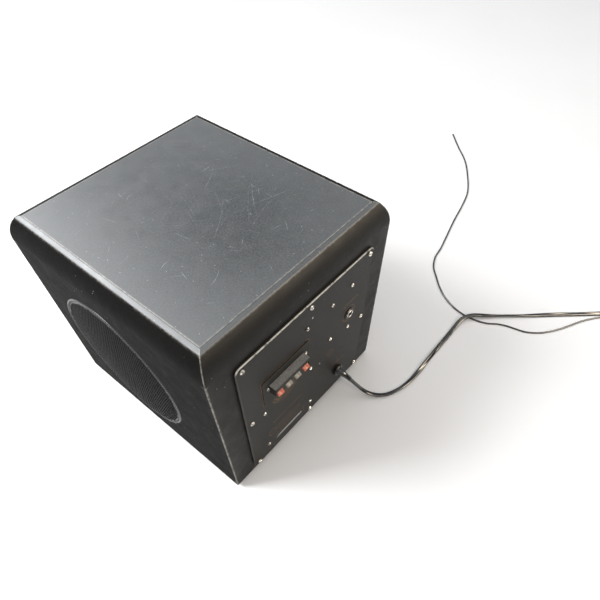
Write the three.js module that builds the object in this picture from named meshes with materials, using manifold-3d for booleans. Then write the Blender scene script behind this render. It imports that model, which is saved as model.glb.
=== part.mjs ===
// A powered home-theatre subwoofer: a low cabinet with a side-firing driver behind a
// round perforated grille, and a rear amplifier plate with a four-way spring terminal.
// Millimetres. +X is the driver's side, +Y the rear with the amplifier plate, +Z up.
import * as THREE from 'three';
import { mergeVertices } from 'three/addons/utils/BufferGeometryUtils.js';
import Module from 'manifold-3d';

// ---- cabinet ----
const WIDTH = 280;
const DEPTH = 300;
const HEIGHT = 260;
const WALL = 15.5;
const TOP_PANEL = 12;
const BASE_PANEL = 12;
const GAP = 0.3;
const MITRE_GAP = 0.22;
const EDGE_RADIUS = 40;
const EDGE_ANGLE = THREE.MathUtils.degToRad(43);
const EDGE_STEPS = 8;
const CROWN = 1.4;
const FOOT_HEIGHT = 6;
const FOOT_RADIUS = 11;
const FOOT_INSET = 30;

// ---- amplifier plate on the rear ----
const PLATE_WIDTH = 218;
const PLATE_HEIGHT = 215;
const PLATE_THICK = 2;
const PLATE_CORNER = 7;
const PLATE_MARGIN_Z = 9;
const GASKET = 1;
const CUTOUT_MARGIN_X = 15;
const CUTOUT_MARGIN_Z = 13.5;
const SCREW_EDGE = 8;
const SCREW_HEAD_R = 3;
const SCREW_HEAD = 1.7;
const SCREW_SHANK_R = 1.7;
const SCREW_LENGTH = 13;
const SMALL_HEAD_R = 2.5;
const SMALL_HEAD = 1.4;
const SMALL_SHANK_R = 1.4;

// ---- modules behind the plate ----
const BRACKET_THICK = 2.5;
const CORE_WIDTH = 66;
const CORE_HEIGHT = 55;
const CORE_DEPTH = 26;
const TRANSFORMER_X = 40.5;
const TRANSFORMER_Z = 72;
const TRANSFORMER_SPAN_X = 81;
const TRANSFORMER_SPAN_Z = 78;
const SINK_CLEARANCE = 1.6;
const SINK_EDGE = 6;
const SINK_SPAN_X = 43;
const SINK_Z = [190, 131];
const JACK_X = -72.5;
const JACK_Z = 146;
const JACK_SCREW_Z = [122, 193];
const JACK_RADIUS = 6.5;
const JACK_COLLAR = 1.5;
const JACK_BARREL = 5.2;
const JACK_BORE = 3.9;
const JACK_PROUD = 2.6;
const JACK_DEPTH = 14;

// ---- four-way spring terminal ----
const TERMINAL_X = 42;
const TERMINAL_Z = 151;
const FLANGE_MARGIN_X = 9.6;
const FLANGE_HEIGHT = 42;
const FLANGE_THICK = 0.8;
const FLANGE_CORNER = 2;
const FLANGE_DROP = 2;
const BODY_DROP = 13;
const BODY_RISE = 9;
const HOOD_RISE = 6;
const HOOD_SLOT = 0.2;
const CHEEK_DROP = 6;
const LEVER_SLOT = 11;
const LEVER_FREE = 0.4;
const LEVER_BACK = 6;
const TERMINAL_SCREW_RISE = 3;
const LEVER_COUNT = 4;
const LEVER_PITCH = 14.2;
const LEVER_WIDTH = 8.4;
const LEVER_REACH = 13;
const LEVER_THICK = 4.2;
const TAB_DROP = 7;
const TAB_SLOPE = 4.6;
const TAB_TIP = 1.3;
const LEVER_SIDE_GAP = 0.35;
const HOOD_DEPTH = 10.5;
const HOOD_CHEEK = 2;
const TERMINAL_BODY_DEPTH = 14;
const TERMINAL_SCREW_OUT = 2.7;
const TERMINAL_HEAD_R = 2.3;

// ---- driver, grille and port ----
const DRIVER_Y = -20.5;
const DRIVER_Z = 113;
const GRILLE_RADIUS = 96.5;
const GRILLE_REBATE = 3;
const GRILLE_DOME = 6.5;
const GRILLE_SHEET = 1.2;
const GRILLE_RIM = 3;
const BAFFLE_HOLE = 80;
const FRAME_RADIUS = 88;
const FRAME_THICK = 4;
const CONE_RADIUS = 60;
const ROLL_RADIUS = 5.2;
const BASKET_DEPTH = 50;
const POLE_RADIUS = 12;
const COIL_CLEARANCE = 0.4;
const COIL_WALL = 0.6;
const MAGNET_RADIUS = 45;
const MAGNET_THICK = 16;
const STEEL_THICK = 5;
const PORT_RADIUS = 30;
const PORT_WALL = 5;
const PORT_FLARE = 4.5;
const PORT_LIP = 4.5;
const PORT_ROUND = 14;
const PORT_LENGTH = 110;
const PORT_X = -50;
const PORT_Z = 62;
const PORT_PROUD = 1.5;

// ---- cords ----
const GLAND_X = -58.5;
const GLAND_Z = 43;
const GLAND_RADIUS = 8;
const GLAND_PROUD = 5;
const GLAND_MOUTH = 3;
const CORD_WIDTH = 7.2;
const CORD_SIDES = 10;
const CORD_STEPS = 40;
const RELIEF_LENGTH = 24;
const RELIEF_RADIUS = 5;
const LEAD_DIAMETER = 2.6;
const LEAD_SIDES = 8;
const LEAD_STEPS = 60;
const FLOOR_CLEARANCE = 0.05;
const COIL_MEAN_RADIUS = 36.5;
const COIL_COLUMNS = 3;
const COIL_LAYERS = 2;
const COIL_CENTRE = [-458, 481.6];
const PLUG_LEAD = 28;

// The mains cord, from the gland to the coil: x and y from the cabinet's centre, z above
// the surface that the subwoofer stands on.
const CORD_ROUTE = [
  [-59.6, 164.5, 46.9],
  [-62, 171, 41.3],
  [-65.2, 177, 33.5],
  [-69.2, 183.4, 24.4],
  [-73.6, 191, 15],
  [-79.2, 200.4, 7.6],
  [-86.8, 210.6, 4.2],
  [-96.5, 218.8, 3.7],
  [-115.4, 227.2, 3.7],
  [-135.7, 231.4, 3.7],
  [-159.2, 232.6, 3.7],
  [-194.1, 232, 3.7],
  [-230.7, 231.8, 3.7],
  [-266, 231.6, 3.7],
  [-281, 231.8, 4.6],
  [-291.5, 234, 6.3],
  [-302, 240.2, 7.1],
  [-311, 248.4, 6.3],
  [-320, 258.4, 4.6],
  [-333.4, 273, 3.7],
  [-346, 288, 3.7],
  [-362.3, 306.8, 3.7],
  [-392, 340, 3.7],
  [-421, 373, 3.7],
  [-450, 406.5, 3.7],
  [-472, 432, 3.7],
];

// The thin lead, from where it parts from the mains cord to its bare end.
const LEAD_ROUTE = [
  [-457, 421.5, 1.35],
  [-441, 405.5, 1.35],
  [-427, 393.5, 1.35],
  [-409, 381, 1.35],
  [-390, 371, 1.35],
  [-372, 361, 1.35],
  [-355, 349.5, 1.35],
  [-341, 336, 1.35],
  [-331.5, 321.4, 1.35],
  [-327.5, 307.5, 1.35],
  [-324, 293, 1.35],
  [-318, 279.5, 1.35],
  [-310, 268, 1.35],
  [-304.5, 254, 1.35],
  [-302.6, 240, 1.35],
  [-302.2, 226, 1.35],
  [-305.5, 210, 1.35],
  [-316, 187, 1.35],
  [-331.5, 167, 1.35],
  [-347, 152, 1.35],
  [-366, 135, 1.35],
  [-389, 124.5, 1.35],
  [-416, 120, 1.35],
  [-443, 113.5, 1.35],
  [-500, 99.5, 1.35],
  [-546, 90, 1.35],
  [-591, 77.5, 1.35],
  [-636, 53.5, 1.35],
  [-685, 20, 1.35],
  [-721, -15.5, 1.35],
  [-759, -51, 1.35],
];

const BODY_WIDTH = LEVER_PITCH * LEVER_COUNT;
const TERMINAL_SCREW_SPAN = BODY_WIDTH + 2 * TERMINAL_SCREW_OUT;
const FLANGE_WIDTH = BODY_WIDTH + 2 * FLANGE_MARGIN_X;
const SINK_RIGHT = TERMINAL_X - BODY_WIDTH / 2 - SINK_CLEARANCE;
const SINK_X = [SINK_RIGHT - SINK_EDGE, SINK_RIGHT - SINK_EDGE - SINK_SPAN_X];
const HALF_PLATE_Z = PLATE_MARGIN_Z + PLATE_HEIGHT / 2;
const WALL_FACE = DEPTH / 2;
const PLATE_BACK = WALL_FACE + GASKET;
const PLATE_FACE = PLATE_BACK + PLATE_THICK;
const COLOURS = {
  vinyl: { color: 0x2b2c2e, roughness: 0.55, metalness: 0 },
  plate: { color: 0x24221f, roughness: 0.5, metalness: 0.4 },
  steel: { color: 0x8d9094, roughness: 0.35, metalness: 0.9 },
  black: { color: 0x141414, roughness: 0.5, metalness: 0 },
  rubber: { color: 0x1a1a1a, roughness: 0.8, metalness: 0 },
  grille: { color: 0x1c1d1e, roughness: 0.45, metalness: 0.6 },
  paper: { color: 0x26241f, roughness: 0.9, metalness: 0 },
  red: { color: 0xe0694a, roughness: 0.45, metalness: 0 },
  grey: { color: 0xb9b3a6, roughness: 0.45, metalness: 0 },
  ferrite: { color: 0x3a3a3c, roughness: 0.8, metalness: 0.1 },
  board: { color: 0x2f5a35, roughness: 0.5, metalness: 0 },
  copper: { color: 0xa8572c, roughness: 0.35, metalness: 0.8 },
};

const wasm = await Module();
wasm.setup();

const subwoofer = new THREE.Group();
const standing = new THREE.Group();
standing.position.set(-GRILLE_DOME / 2, -(PLATE_FACE + LEVER_REACH - WALL_FACE - PORT_PROUD) / 2, 0);
subwoofer.add(standing);
const cabinet = new THREE.Group();
cabinet.position.z = FOOT_HEIGHT;
standing.add(cabinet);

function addPiece(name, geometry, finish, parent = cabinet) {
  const mesh = new THREE.Mesh(geometry, new THREE.MeshStandardMaterial(COLOURS[finish]));
  mesh.name = name;
  parent.add(mesh);
  return mesh;
}

// ---- joining and cutting ----
function toSolid(geometry) {
  const bare = geometry.clone();
  bare.deleteAttribute('normal');
  bare.deleteAttribute('uv');
  const merged = mergeVertices(bare);
  const vertProperties = new Float32Array(merged.attributes.position.array);
  const triVerts = new Uint32Array(merged.index.array);
  return new wasm.Manifold(new wasm.Mesh({ numProp: 3, vertProperties, triVerts }));
}

function toGeometry(solid) {
  const mesh = solid.getMesh();
  const geometry = new THREE.BufferGeometry();
  geometry.setAttribute('position', new THREE.BufferAttribute(new Float32Array(mesh.vertProperties), 3));
  geometry.setIndex(new THREE.BufferAttribute(new Uint32Array(mesh.triVerts), 1));
  geometry.computeVertexNormals();
  return geometry;
}

function cut(geometry, tools) {
  let solid = toSolid(geometry);
  for (const tool of tools) solid = solid.subtract(toSolid(tool));
  return toGeometry(solid);
}

function join(first, others) {
  let solid = toSolid(first);
  for (const other of others) solid = solid.add(toSolid(other));
  return toGeometry(solid);
}

// ---- shapes ----
// A box between two corners.
function box(low, high) {
  const size = high.map((value, i) => value - low[i]);
  const geometry = new THREE.BoxGeometry(...size);
  return geometry.translate(...high.map((value, i) => (value + low[i]) / 2));
}

// A round bar along +Y from y0 to y1.
function rodY(radius, y0, y1, x, z, sides = 16) {
  const geometry = new THREE.CylinderGeometry(radius, radius, y1 - y0, sides);
  return geometry.translate(x, (y0 + y1) / 2, z);
}

// A profile of [radius, distance] turned about +X, centred on the driver's axis.
function turnedX(profile, sides = 48, y = DRIVER_Y, z = DRIVER_Z) {
  const points = profile.map(([radius, along]) => new THREE.Vector2(radius, along));
  return new THREE.LatheGeometry(points, sides).rotateZ(-Math.PI / 2).translate(0, y, z);
}

// A profile of [radius, distance] turned about +Y.
function turnedY(profile, x, z, sides = 24) {
  const points = profile.map(([radius, along]) => new THREE.Vector2(radius, along));
  return new THREE.LatheGeometry(points, sides).translate(x, 0, z);
}

// An outline in X and Z, with round corners, from y0 to y1.
function roundedSlab(width, height, corner, y0, y1, x, z) {
  const w = width / 2;
  const h = height / 2;
  const shape = new THREE.Shape();
  shape.moveTo(-w + corner, -h);
  shape.lineTo(w - corner, -h);
  shape.absarc(w - corner, -h + corner, corner, -Math.PI / 2, 0);
  shape.absarc(w - corner, h - corner, corner, 0, Math.PI / 2);
  shape.absarc(-w + corner, h - corner, corner, Math.PI / 2, Math.PI);
  shape.absarc(-w + corner, -h + corner, corner, Math.PI, 1.5 * Math.PI);
  const settings = { depth: y1 - y0, bevelEnabled: false, curveSegments: 5 };
  return new THREE.ExtrudeGeometry(shape, settings).rotateX(Math.PI / 2).translate(x, y1, z);
}

// Rings of points, one after another, skinned and capped. The outline gives the caps.
function loft(outline, rings) {
  const count = outline.length;
  const index = [];
  for (let k = 0; k + 1 < rings.length; k += 1) {
    for (let i = 0; i < count; i += 1) {
      const a = k * count + i;
      const b = k * count + ((i + 1) % count);
      index.push(a, b, b + count, a, b + count, a + count);
    }
  }
  const last = (rings.length - 1) * count;
  for (const [a, b, c] of THREE.ShapeUtils.triangulateShape(outline, [])) {
    index.push(a, c, b, last + a, last + b, last + c);
  }
  const positions = rings.flat().flatMap((point) => point.toArray());
  const geometry = new THREE.BufferGeometry();
  geometry.setAttribute('position', new THREE.Float32BufferAttribute(positions, 3));
  geometry.setIndex(index);
  return geometry;
}

// A tapered round sleeve along a curve.
function sleeve(curve, steps, sides, radiusAt) {
  const frames = curve.computeFrenetFrames(steps, false);
  const outline = [];
  for (let i = 0; i < sides; i += 1) {
    const turn = (2 * Math.PI * i) / sides;
    outline.push(new THREE.Vector2(Math.cos(turn), Math.sin(turn)));
  }
  const rings = [];
  for (let k = 0; k <= steps; k += 1) {
    const centre = curve.getPointAt(k / steps);
    rings.push(outline.map((p) => centre.clone()
      .addScaledVector(frames.normals[k], p.x * radiusAt(k / steps))
      .addScaledVector(frames.binormals[k], p.y * radiusAt(k / steps))));
  }
  return loft(outline, rings);
}

// ---- cabinet walls ----
// One wall's cross-section as (z, distance out from the cabinet's centre): straight up,
// then an arc that leans in, a narrow sloping border, and the flat inner face.
function wallSection(half) {
  const arcStart = HEIGHT - EDGE_RADIUS * Math.sin(EDGE_ANGLE);
  const outline = [new THREE.Vector2(0, half)];
  for (let i = 0; i <= EDGE_STEPS; i += 1) {
    const turn = (EDGE_ANGLE * i) / EDGE_STEPS;
    const lean = EDGE_RADIUS * (1 - Math.cos(turn));
    outline.push(new THREE.Vector2(arcStart + EDGE_RADIUS * Math.sin(turn), half - lean));
  }
  outline.push(new THREE.Vector2(HEIGHT + CROWN, half - WALL));
  outline.push(new THREE.Vector2(0, half - WALL));
  return THREE.ShapeUtils.isClockWise(outline) ? outline.reverse() : outline;
}

// A wall that faces +X, with its two ends mitred for the neighbouring walls.
function wallGeometry(half, halfLength) {
  const outline = wallSection(half);
  const ends = [-1, 1].map((side) => outline.map((point) => {
    const inset = half - point.y;
    return new THREE.Vector3(point.y, side * (halfLength - inset - MITRE_GAP), point.x);
  }));
  return loft(outline, ends);
}

const baffleHole = turnedX([[0, 0], [BAFFLE_HOLE, 0], [BAFFLE_HOLE, 40], [0, 40]], 48);
baffleHole.translate(WIDTH / 2 - 30, 0, 0);
const rebateFloor = WIDTH / 2 - GRILLE_REBATE;
const grilleRebate = turnedX([
  [0, 0], [GRILLE_RADIUS, 0], [GRILLE_RADIUS, 10], [0, 10],
], 48).translate(rebateFloor, 0, 0);
addPiece('driver_side_panel', cut(wallGeometry(WIDTH / 2, DEPTH / 2), [baffleHole, grilleRebate]), 'vinyl');
addPiece('plain_side_panel', wallGeometry(WIDTH / 2, DEPTH / 2).rotateZ(Math.PI), 'vinyl');

// The front panel carries the bass port.
const frontFace = -DEPTH / 2;
const portHole = rodY(PORT_RADIUS + PORT_WALL + GAP, frontFace - 10, frontFace + WALL + 10, PORT_X, PORT_Z, 40);
addPiece('front_panel', cut(wallGeometry(DEPTH / 2, WIDTH / 2).rotateZ(-Math.PI / 2), [portHole]), 'vinyl');

// The rear panel has the square cut-out that the amplifier hangs in.
const plateScrews = [];
for (const row of [-1, 0, 1]) {
  for (const column of [-1, 0, 1]) {
    if (row !== 0 || column !== 0) {
      const x = column * (PLATE_WIDTH / 2 - SCREW_EDGE);
      const z = HALF_PLATE_Z + row * (PLATE_HEIGHT / 2 - SCREW_EDGE + 2);
      plateScrews.push([x, z]);
    }
  }
}
const cutoutX = PLATE_WIDTH / 2 - CUTOUT_MARGIN_X;
const cutoutZ = PLATE_HEIGHT / 2 - CUTOUT_MARGIN_Z;
const cutoutLow = [-cutoutX, WALL_FACE - WALL - 5, HALF_PLATE_Z - cutoutZ];
const cutoutHigh = [cutoutX, WALL_FACE + 10, HALF_PLATE_Z + cutoutZ];
const screwHoles = plateScrews.map(([x, z]) => (
  rodY(SCREW_SHANK_R + GAP, WALL_FACE - SCREW_LENGTH, PLATE_FACE + 5, x, z, 12)
));
const rearBlank = wallGeometry(DEPTH / 2, WIDTH / 2).rotateZ(Math.PI / 2);
addPiece('rear_panel', cut(rearBlank, [box(cutoutLow, cutoutHigh), ...screwHoles]), 'vinyl');

const insideX = WIDTH / 2 - WALL - GAP;
const insideY = DEPTH / 2 - WALL - GAP;
const topLow = [-insideX, -insideY, HEIGHT + CROWN - TOP_PANEL];
addPiece('top_panel', box(topLow, [insideX, insideY, HEIGHT + CROWN]), 'vinyl');
addPiece('base_panel', box([-insideX, -insideY, 0], [insideX, insideY, BASE_PANEL]), 'vinyl');

// ---- feet ----
const footProfile = [
  [0, 0], [FOOT_RADIUS - 1.5, 0], [FOOT_RADIUS, 1.5], [FOOT_RADIUS, FOOT_HEIGHT - GAP], [0, FOOT_HEIGHT - GAP],
].map(([radius, z]) => new THREE.Vector2(radius, z));
const footPlaces = [[1, 1], [-1, 1], [-1, -1], [1, -1]];
footPlaces.forEach(([sx, sy], i) => {
  const foot = new THREE.LatheGeometry(footProfile, 24).rotateX(Math.PI / 2);
  const mesh = addPiece(`foot_${i + 1}`, foot, 'rubber', standing);
  mesh.position.set(sx * (WIDTH / 2 - FOOT_INSET), sy * (DEPTH / 2 - FOOT_INSET), 0);
});

// ---- amplifier plate ----
const smallScrews = [
  [TRANSFORMER_X - TRANSFORMER_SPAN_X / 2, TRANSFORMER_Z - TRANSFORMER_SPAN_Z / 2],
  [TRANSFORMER_X + TRANSFORMER_SPAN_X / 2, TRANSFORMER_Z - TRANSFORMER_SPAN_Z / 2],
  [TRANSFORMER_X - TRANSFORMER_SPAN_X / 2, TRANSFORMER_Z + TRANSFORMER_SPAN_Z / 2],
  [TRANSFORMER_X + TRANSFORMER_SPAN_X / 2, TRANSFORMER_Z + TRANSFORMER_SPAN_Z / 2],
  [SINK_X[0], SINK_Z[0]],
  [SINK_X[1], SINK_Z[0]],
  [SINK_X[1], SINK_Z[1]],
  [JACK_X, JACK_SCREW_Z[0]],
  [JACK_X, JACK_SCREW_Z[1]],
];
const SMALL_LENGTH = PLATE_THICK + BRACKET_THICK + 1.5;
const smallHoles = smallScrews.map(([x, z]) => (
  rodY(SMALL_SHANK_R + GAP, PLATE_FACE - SMALL_LENGTH - 3, PLATE_FACE + 5, x, z, 10)
));
const terminalScrews = [-1, 1].map((side) => [TERMINAL_X + (side * TERMINAL_SCREW_SPAN) / 2, TERMINAL_Z + TERMINAL_SCREW_RISE]);
const terminalHoles = terminalScrews.map(([x, z]) => (
  rodY(SMALL_SHANK_R + GAP, PLATE_BACK - 5, PLATE_FACE + 10, x, z, 10)
));
const BODY_LOW = TERMINAL_Z - BODY_DROP;
const BODY_HIGH = TERMINAL_Z + BODY_RISE;
const bodyOpening = box(
  [TERMINAL_X - BODY_WIDTH / 2 - GAP, PLATE_BACK - 5, BODY_LOW - GAP],
  [TERMINAL_X + BODY_WIDTH / 2 + GAP, PLATE_FACE + 5, BODY_HIGH + GAP],
);
const jackOpening = rodY(JACK_RADIUS + GAP, PLATE_BACK - 5, PLATE_FACE + 5, JACK_X, JACK_Z, 24);
const glandOpening = rodY(GLAND_RADIUS - 2 + GAP, PLATE_BACK - 5, PLATE_FACE + 5, GLAND_X, GLAND_Z, 24);
const plateBlank = roundedSlab(PLATE_WIDTH, PLATE_HEIGHT, PLATE_CORNER, PLATE_BACK, PLATE_FACE, 0, HALF_PLATE_Z);
const plateTools = [...screwHoles, ...smallHoles, ...terminalHoles, bodyOpening, jackOpening, glandOpening];
addPiece('rear_plate', cut(plateBlank, plateTools), 'plate');

const gasketBlank = roundedSlab(
  PLATE_WIDTH, PLATE_HEIGHT, PLATE_CORNER, WALL_FACE + 0.1, PLATE_BACK - 0.1, 0, HALF_PLATE_Z,
);
addPiece('plate_gasket', cut(gasketBlank, [box(cutoutLow, cutoutHigh), ...screwHoles]), 'rubber');

// A pan-head screw along +Y: a domed head, a shank and a short point.
function screw(headRadius, headHeight, shankRadius, length) {
  return [
    [0, -length],
    [shankRadius, -length + shankRadius],
    [shankRadius, GAP],
    [headRadius, GAP],
    [headRadius * 0.8, GAP + headHeight * 0.8],
    [0, GAP + headHeight],
  ];
}
plateScrews.forEach(([x, z], i) => {
  const profile = screw(SCREW_HEAD_R, SCREW_HEAD, SCREW_SHANK_R, SCREW_LENGTH);
  addPiece(`plate_screw_${i + 1}`, turnedY(profile, x, z, 10).translate(0, PLATE_FACE, 0), 'steel');
});
smallScrews.forEach(([x, z], i) => {
  const profile = screw(SMALL_HEAD_R, SMALL_HEAD, SMALL_SHANK_R, SMALL_LENGTH);
  addPiece(`module_screw_${i + 1}`, turnedY(profile, x, z, 10).translate(0, PLATE_FACE, 0), 'steel');
});

// ---- spring terminal ----
const FLANGE_BACK = PLATE_FACE + GAP;
const FLANGE_FACE = FLANGE_BACK + FLANGE_THICK;
const HOOD_TOP = TERMINAL_Z + HOOD_RISE;
const HOOD_UNDER = TERMINAL_Z + HOOD_SLOT;
const HOOD_HALF = BODY_WIDTH / 2 - 2 + HOOD_CHEEK;
const flange = roundedSlab(
  FLANGE_WIDTH, FLANGE_HEIGHT, FLANGE_CORNER, FLANGE_BACK, FLANGE_FACE, TERMINAL_X, TERMINAL_Z - FLANGE_DROP,
);
const innerBody = box(
  [TERMINAL_X - BODY_WIDTH / 2, PLATE_BACK - TERMINAL_BODY_DEPTH, BODY_LOW],
  [TERMINAL_X + BODY_WIDTH / 2, FLANGE_FACE - 0.2, BODY_HIGH],
);
const hood = box(
  [TERMINAL_X - HOOD_HALF, FLANGE_BACK + 0.2, HOOD_UNDER],
  [TERMINAL_X + HOOD_HALF, PLATE_FACE + HOOD_DEPTH, HOOD_TOP],
);
const cheeks = [-1, 1].map((side) => box(
  [TERMINAL_X + side * HOOD_HALF - (side > 0 ? HOOD_CHEEK : 0), FLANGE_BACK + 0.2, HOOD_UNDER - CHEEK_DROP],
  [TERMINAL_X + side * HOOD_HALF + (side > 0 ? 0 : HOOD_CHEEK), PLATE_FACE + HOOD_DEPTH, HOOD_UNDER + 1],
));
const LEVER_TOP = HOOD_UNDER - GAP - LEVER_FREE;
const LEVER_ROOT = PLATE_BACK - LEVER_BACK;
const leverPlaces = [];
for (let i = 0; i < LEVER_COUNT; i += 1) {
  leverPlaces.push(TERMINAL_X + ((LEVER_COUNT - 1) / 2 - i) * LEVER_PITCH);
}
const leverSlots = leverPlaces.map((x) => box(
  [x - LEVER_WIDTH / 2 - LEVER_SIDE_GAP, LEVER_ROOT - 2, HOOD_UNDER - LEVER_SLOT],
  [x + LEVER_WIDTH / 2 + LEVER_SIDE_GAP, PLATE_FACE + 30, HOOD_UNDER],
));
const terminalTools = [
  ...leverSlots,
  ...terminalScrews.map(([x, z]) => rodY(SMALL_SHANK_R + GAP, PLATE_BACK - 20, PLATE_FACE + 20, x, z, 10)),
];
addPiece('terminal_body', cut(join(flange, [innerBody, hood, ...cheeks]), terminalTools), 'black');

// A lever's side view as [distance out from the plate's face, height]: a flat arm under
// the hood and a thumb tab that slopes down and out.
const armBack = LEVER_ROOT - PLATE_FACE;
const leverOutline = [
  [armBack, LEVER_TOP - LEVER_THICK],
  [LEVER_REACH - TAB_SLOPE - TAB_TIP, LEVER_TOP - LEVER_THICK],
  [LEVER_REACH - TAB_TIP, LEVER_TOP - TAB_DROP],
  [LEVER_REACH, LEVER_TOP - TAB_DROP + TAB_TIP],
  [LEVER_REACH - TAB_SLOPE, LEVER_TOP - TAB_TIP],
  [LEVER_REACH - TAB_SLOPE - TAB_TIP, LEVER_TOP],
  [armBack, LEVER_TOP],
];
const leverFinish = ['red', 'grey', 'grey', 'red'];
leverPlaces.forEach((x, i) => {
  const shape = new THREE.Shape(leverOutline.map(([out, z]) => new THREE.Vector2(out, z)));
  const tab = new THREE.ExtrudeGeometry(shape, { depth: LEVER_WIDTH, bevelEnabled: false });
  tab.rotateX(Math.PI / 2).rotateZ(Math.PI / 2);
  tab.translate(x, PLATE_FACE, 0);
  tab.computeBoundingBox();
  tab.translate(x - LEVER_WIDTH / 2 - tab.boundingBox.min.x, 0, 0);
  addPiece(`terminal_lever_${i + 1}`, tab, leverFinish[i]);
});
terminalScrews.forEach(([x, z], i) => {
  const profile = screw(TERMINAL_HEAD_R, SMALL_HEAD, SMALL_SHANK_R, FLANGE_THICK + PLATE_THICK);
  addPiece(`terminal_screw_${i + 1}`, turnedY(profile, x, z, 10).translate(0, FLANGE_FACE, 0), 'steel');
});

// ---- input jack, gland ----
addPiece('input_jack', turnedY([
  [0, -JACK_DEPTH], [JACK_RADIUS, -JACK_DEPTH], [JACK_RADIUS, GAP], [JACK_RADIUS + JACK_COLLAR, GAP],
  [JACK_RADIUS + JACK_COLLAR, GAP + 1], [JACK_BARREL, GAP + 1], [JACK_BARREL, JACK_PROUD],
  [JACK_BORE, JACK_PROUD], [JACK_BORE, JACK_PROUD - JACK_DEPTH / 2], [0, JACK_PROUD - JACK_DEPTH / 2],
], JACK_X, JACK_Z).translate(0, PLATE_FACE, 0), 'black');

addPiece('cord_gland', turnedY([
  [0, -8], [GLAND_RADIUS - 2, -8], [GLAND_RADIUS - 2, GAP], [GLAND_RADIUS, GAP],
  [GLAND_RADIUS, GLAND_PROUD - 1.2], [GLAND_RADIUS - 1.2, GLAND_PROUD], [RELIEF_RADIUS + 0.8, GLAND_PROUD],
  [RELIEF_RADIUS + 0.8, GLAND_PROUD - GLAND_MOUTH], [0, GLAND_PROUD - GLAND_MOUTH],
], GLAND_X, GLAND_Z).translate(0, PLATE_FACE, 0), 'black');

// ---- modules behind the plate ----
const moduleFace = PLATE_BACK - GAP;
const bracketBack = moduleFace - BRACKET_THICK;
const transformerEar = 6;
const bracketLow = [
  TRANSFORMER_X - TRANSFORMER_SPAN_X / 2 - transformerEar, bracketBack,
  TRANSFORMER_Z - TRANSFORMER_SPAN_Z / 2 - transformerEar,
];
const bracketHigh = [
  TRANSFORMER_X + TRANSFORMER_SPAN_X / 2 + transformerEar, moduleFace,
  TRANSFORMER_Z + TRANSFORMER_SPAN_Z / 2 + transformerEar,
];
addPiece('transformer_bracket', cut(box(bracketLow, bracketHigh), smallHoles), 'steel');
const coreBack = bracketBack - GAP - CORE_DEPTH;
const coreBlank = box(
  [TRANSFORMER_X - CORE_WIDTH / 2, coreBack, TRANSFORMER_Z - CORE_HEIGHT / 2],
  [TRANSFORMER_X + CORE_WIDTH / 2, bracketBack - GAP, TRANSFORMER_Z + CORE_HEIGHT / 2],
);
const windowWidth = CORE_WIDTH / 6;
const windows = [-1, 1].map((side) => box(
  [TRANSFORMER_X + side * windowWidth * 1.5 - windowWidth / 2, coreBack - 5, TRANSFORMER_Z - CORE_HEIGHT / 3],
  [TRANSFORMER_X + side * windowWidth * 1.5 + windowWidth / 2, bracketBack, TRANSFORMER_Z + CORE_HEIGHT / 3],
));
addPiece('transformer_core', cut(coreBlank, windows), 'steel');
const windingReach = 9;
const windingHalf = windowWidth * 2 - GAP;
const windingBlank = box(
  [TRANSFORMER_X - windingHalf, coreBack - windingReach, TRANSFORMER_Z - CORE_HEIGHT / 3 + GAP],
  [TRANSFORMER_X + windingHalf, bracketBack - GAP - 1, TRANSFORMER_Z + CORE_HEIGHT / 3 - GAP],
);
const limb = box(
  [TRANSFORMER_X - windowWidth - GAP, coreBack - GAP, TRANSFORMER_Z - CORE_HEIGHT],
  [TRANSFORMER_X + windowWidth + GAP, bracketBack + 5, TRANSFORMER_Z + CORE_HEIGHT],
);
addPiece('transformer_winding', cut(windingBlank, [limb]), 'copper');

// The heat sink: a base with a row of fins that point into the cabinet.
const sinkBack = moduleFace - BRACKET_THICK;
const sinkX = [SINK_X[1] - 10, SINK_RIGHT];
const sinkZ = [SINK_Z[1] - 9, SINK_Z[0] + 9];
const finCount = 7;
const finDepth = 20;
const fins = [];
for (let i = 0; i < finCount; i += 1) {
  const x = sinkX[0] + ((sinkX[1] - sinkX[0] - 2) * i) / (finCount - 1);
  fins.push(box([x, sinkBack - finDepth, sinkZ[0] + 12], [x + 2, sinkBack + 0.5, sinkZ[1] - 12]));
}
const sinkBase = box([sinkX[0], sinkBack, sinkZ[0]], [sinkX[1], moduleFace, sinkZ[1]]);
addPiece('heat_sink', cut(join(sinkBase, fins), smallHoles), 'ferrite');
const boardBack = sinkBack - finDepth - 6;
addPiece('amplifier_board', box(
  [sinkX[0] - 6, boardBack - 1.6, sinkZ[0] - 4], [sinkX[1] + 4, boardBack, sinkZ[1]],
), 'board');
addPiece('jack_board', cut(box(
  [JACK_X - 9, bracketBack + 1, JACK_SCREW_Z[0] - 7], [JACK_X + 9, moduleFace, JACK_SCREW_Z[1] + 7],
), [...smallHoles, rodY(JACK_RADIUS + GAP, bracketBack - 5, PLATE_FACE, JACK_X, JACK_Z, 24)]), 'board');

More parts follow.
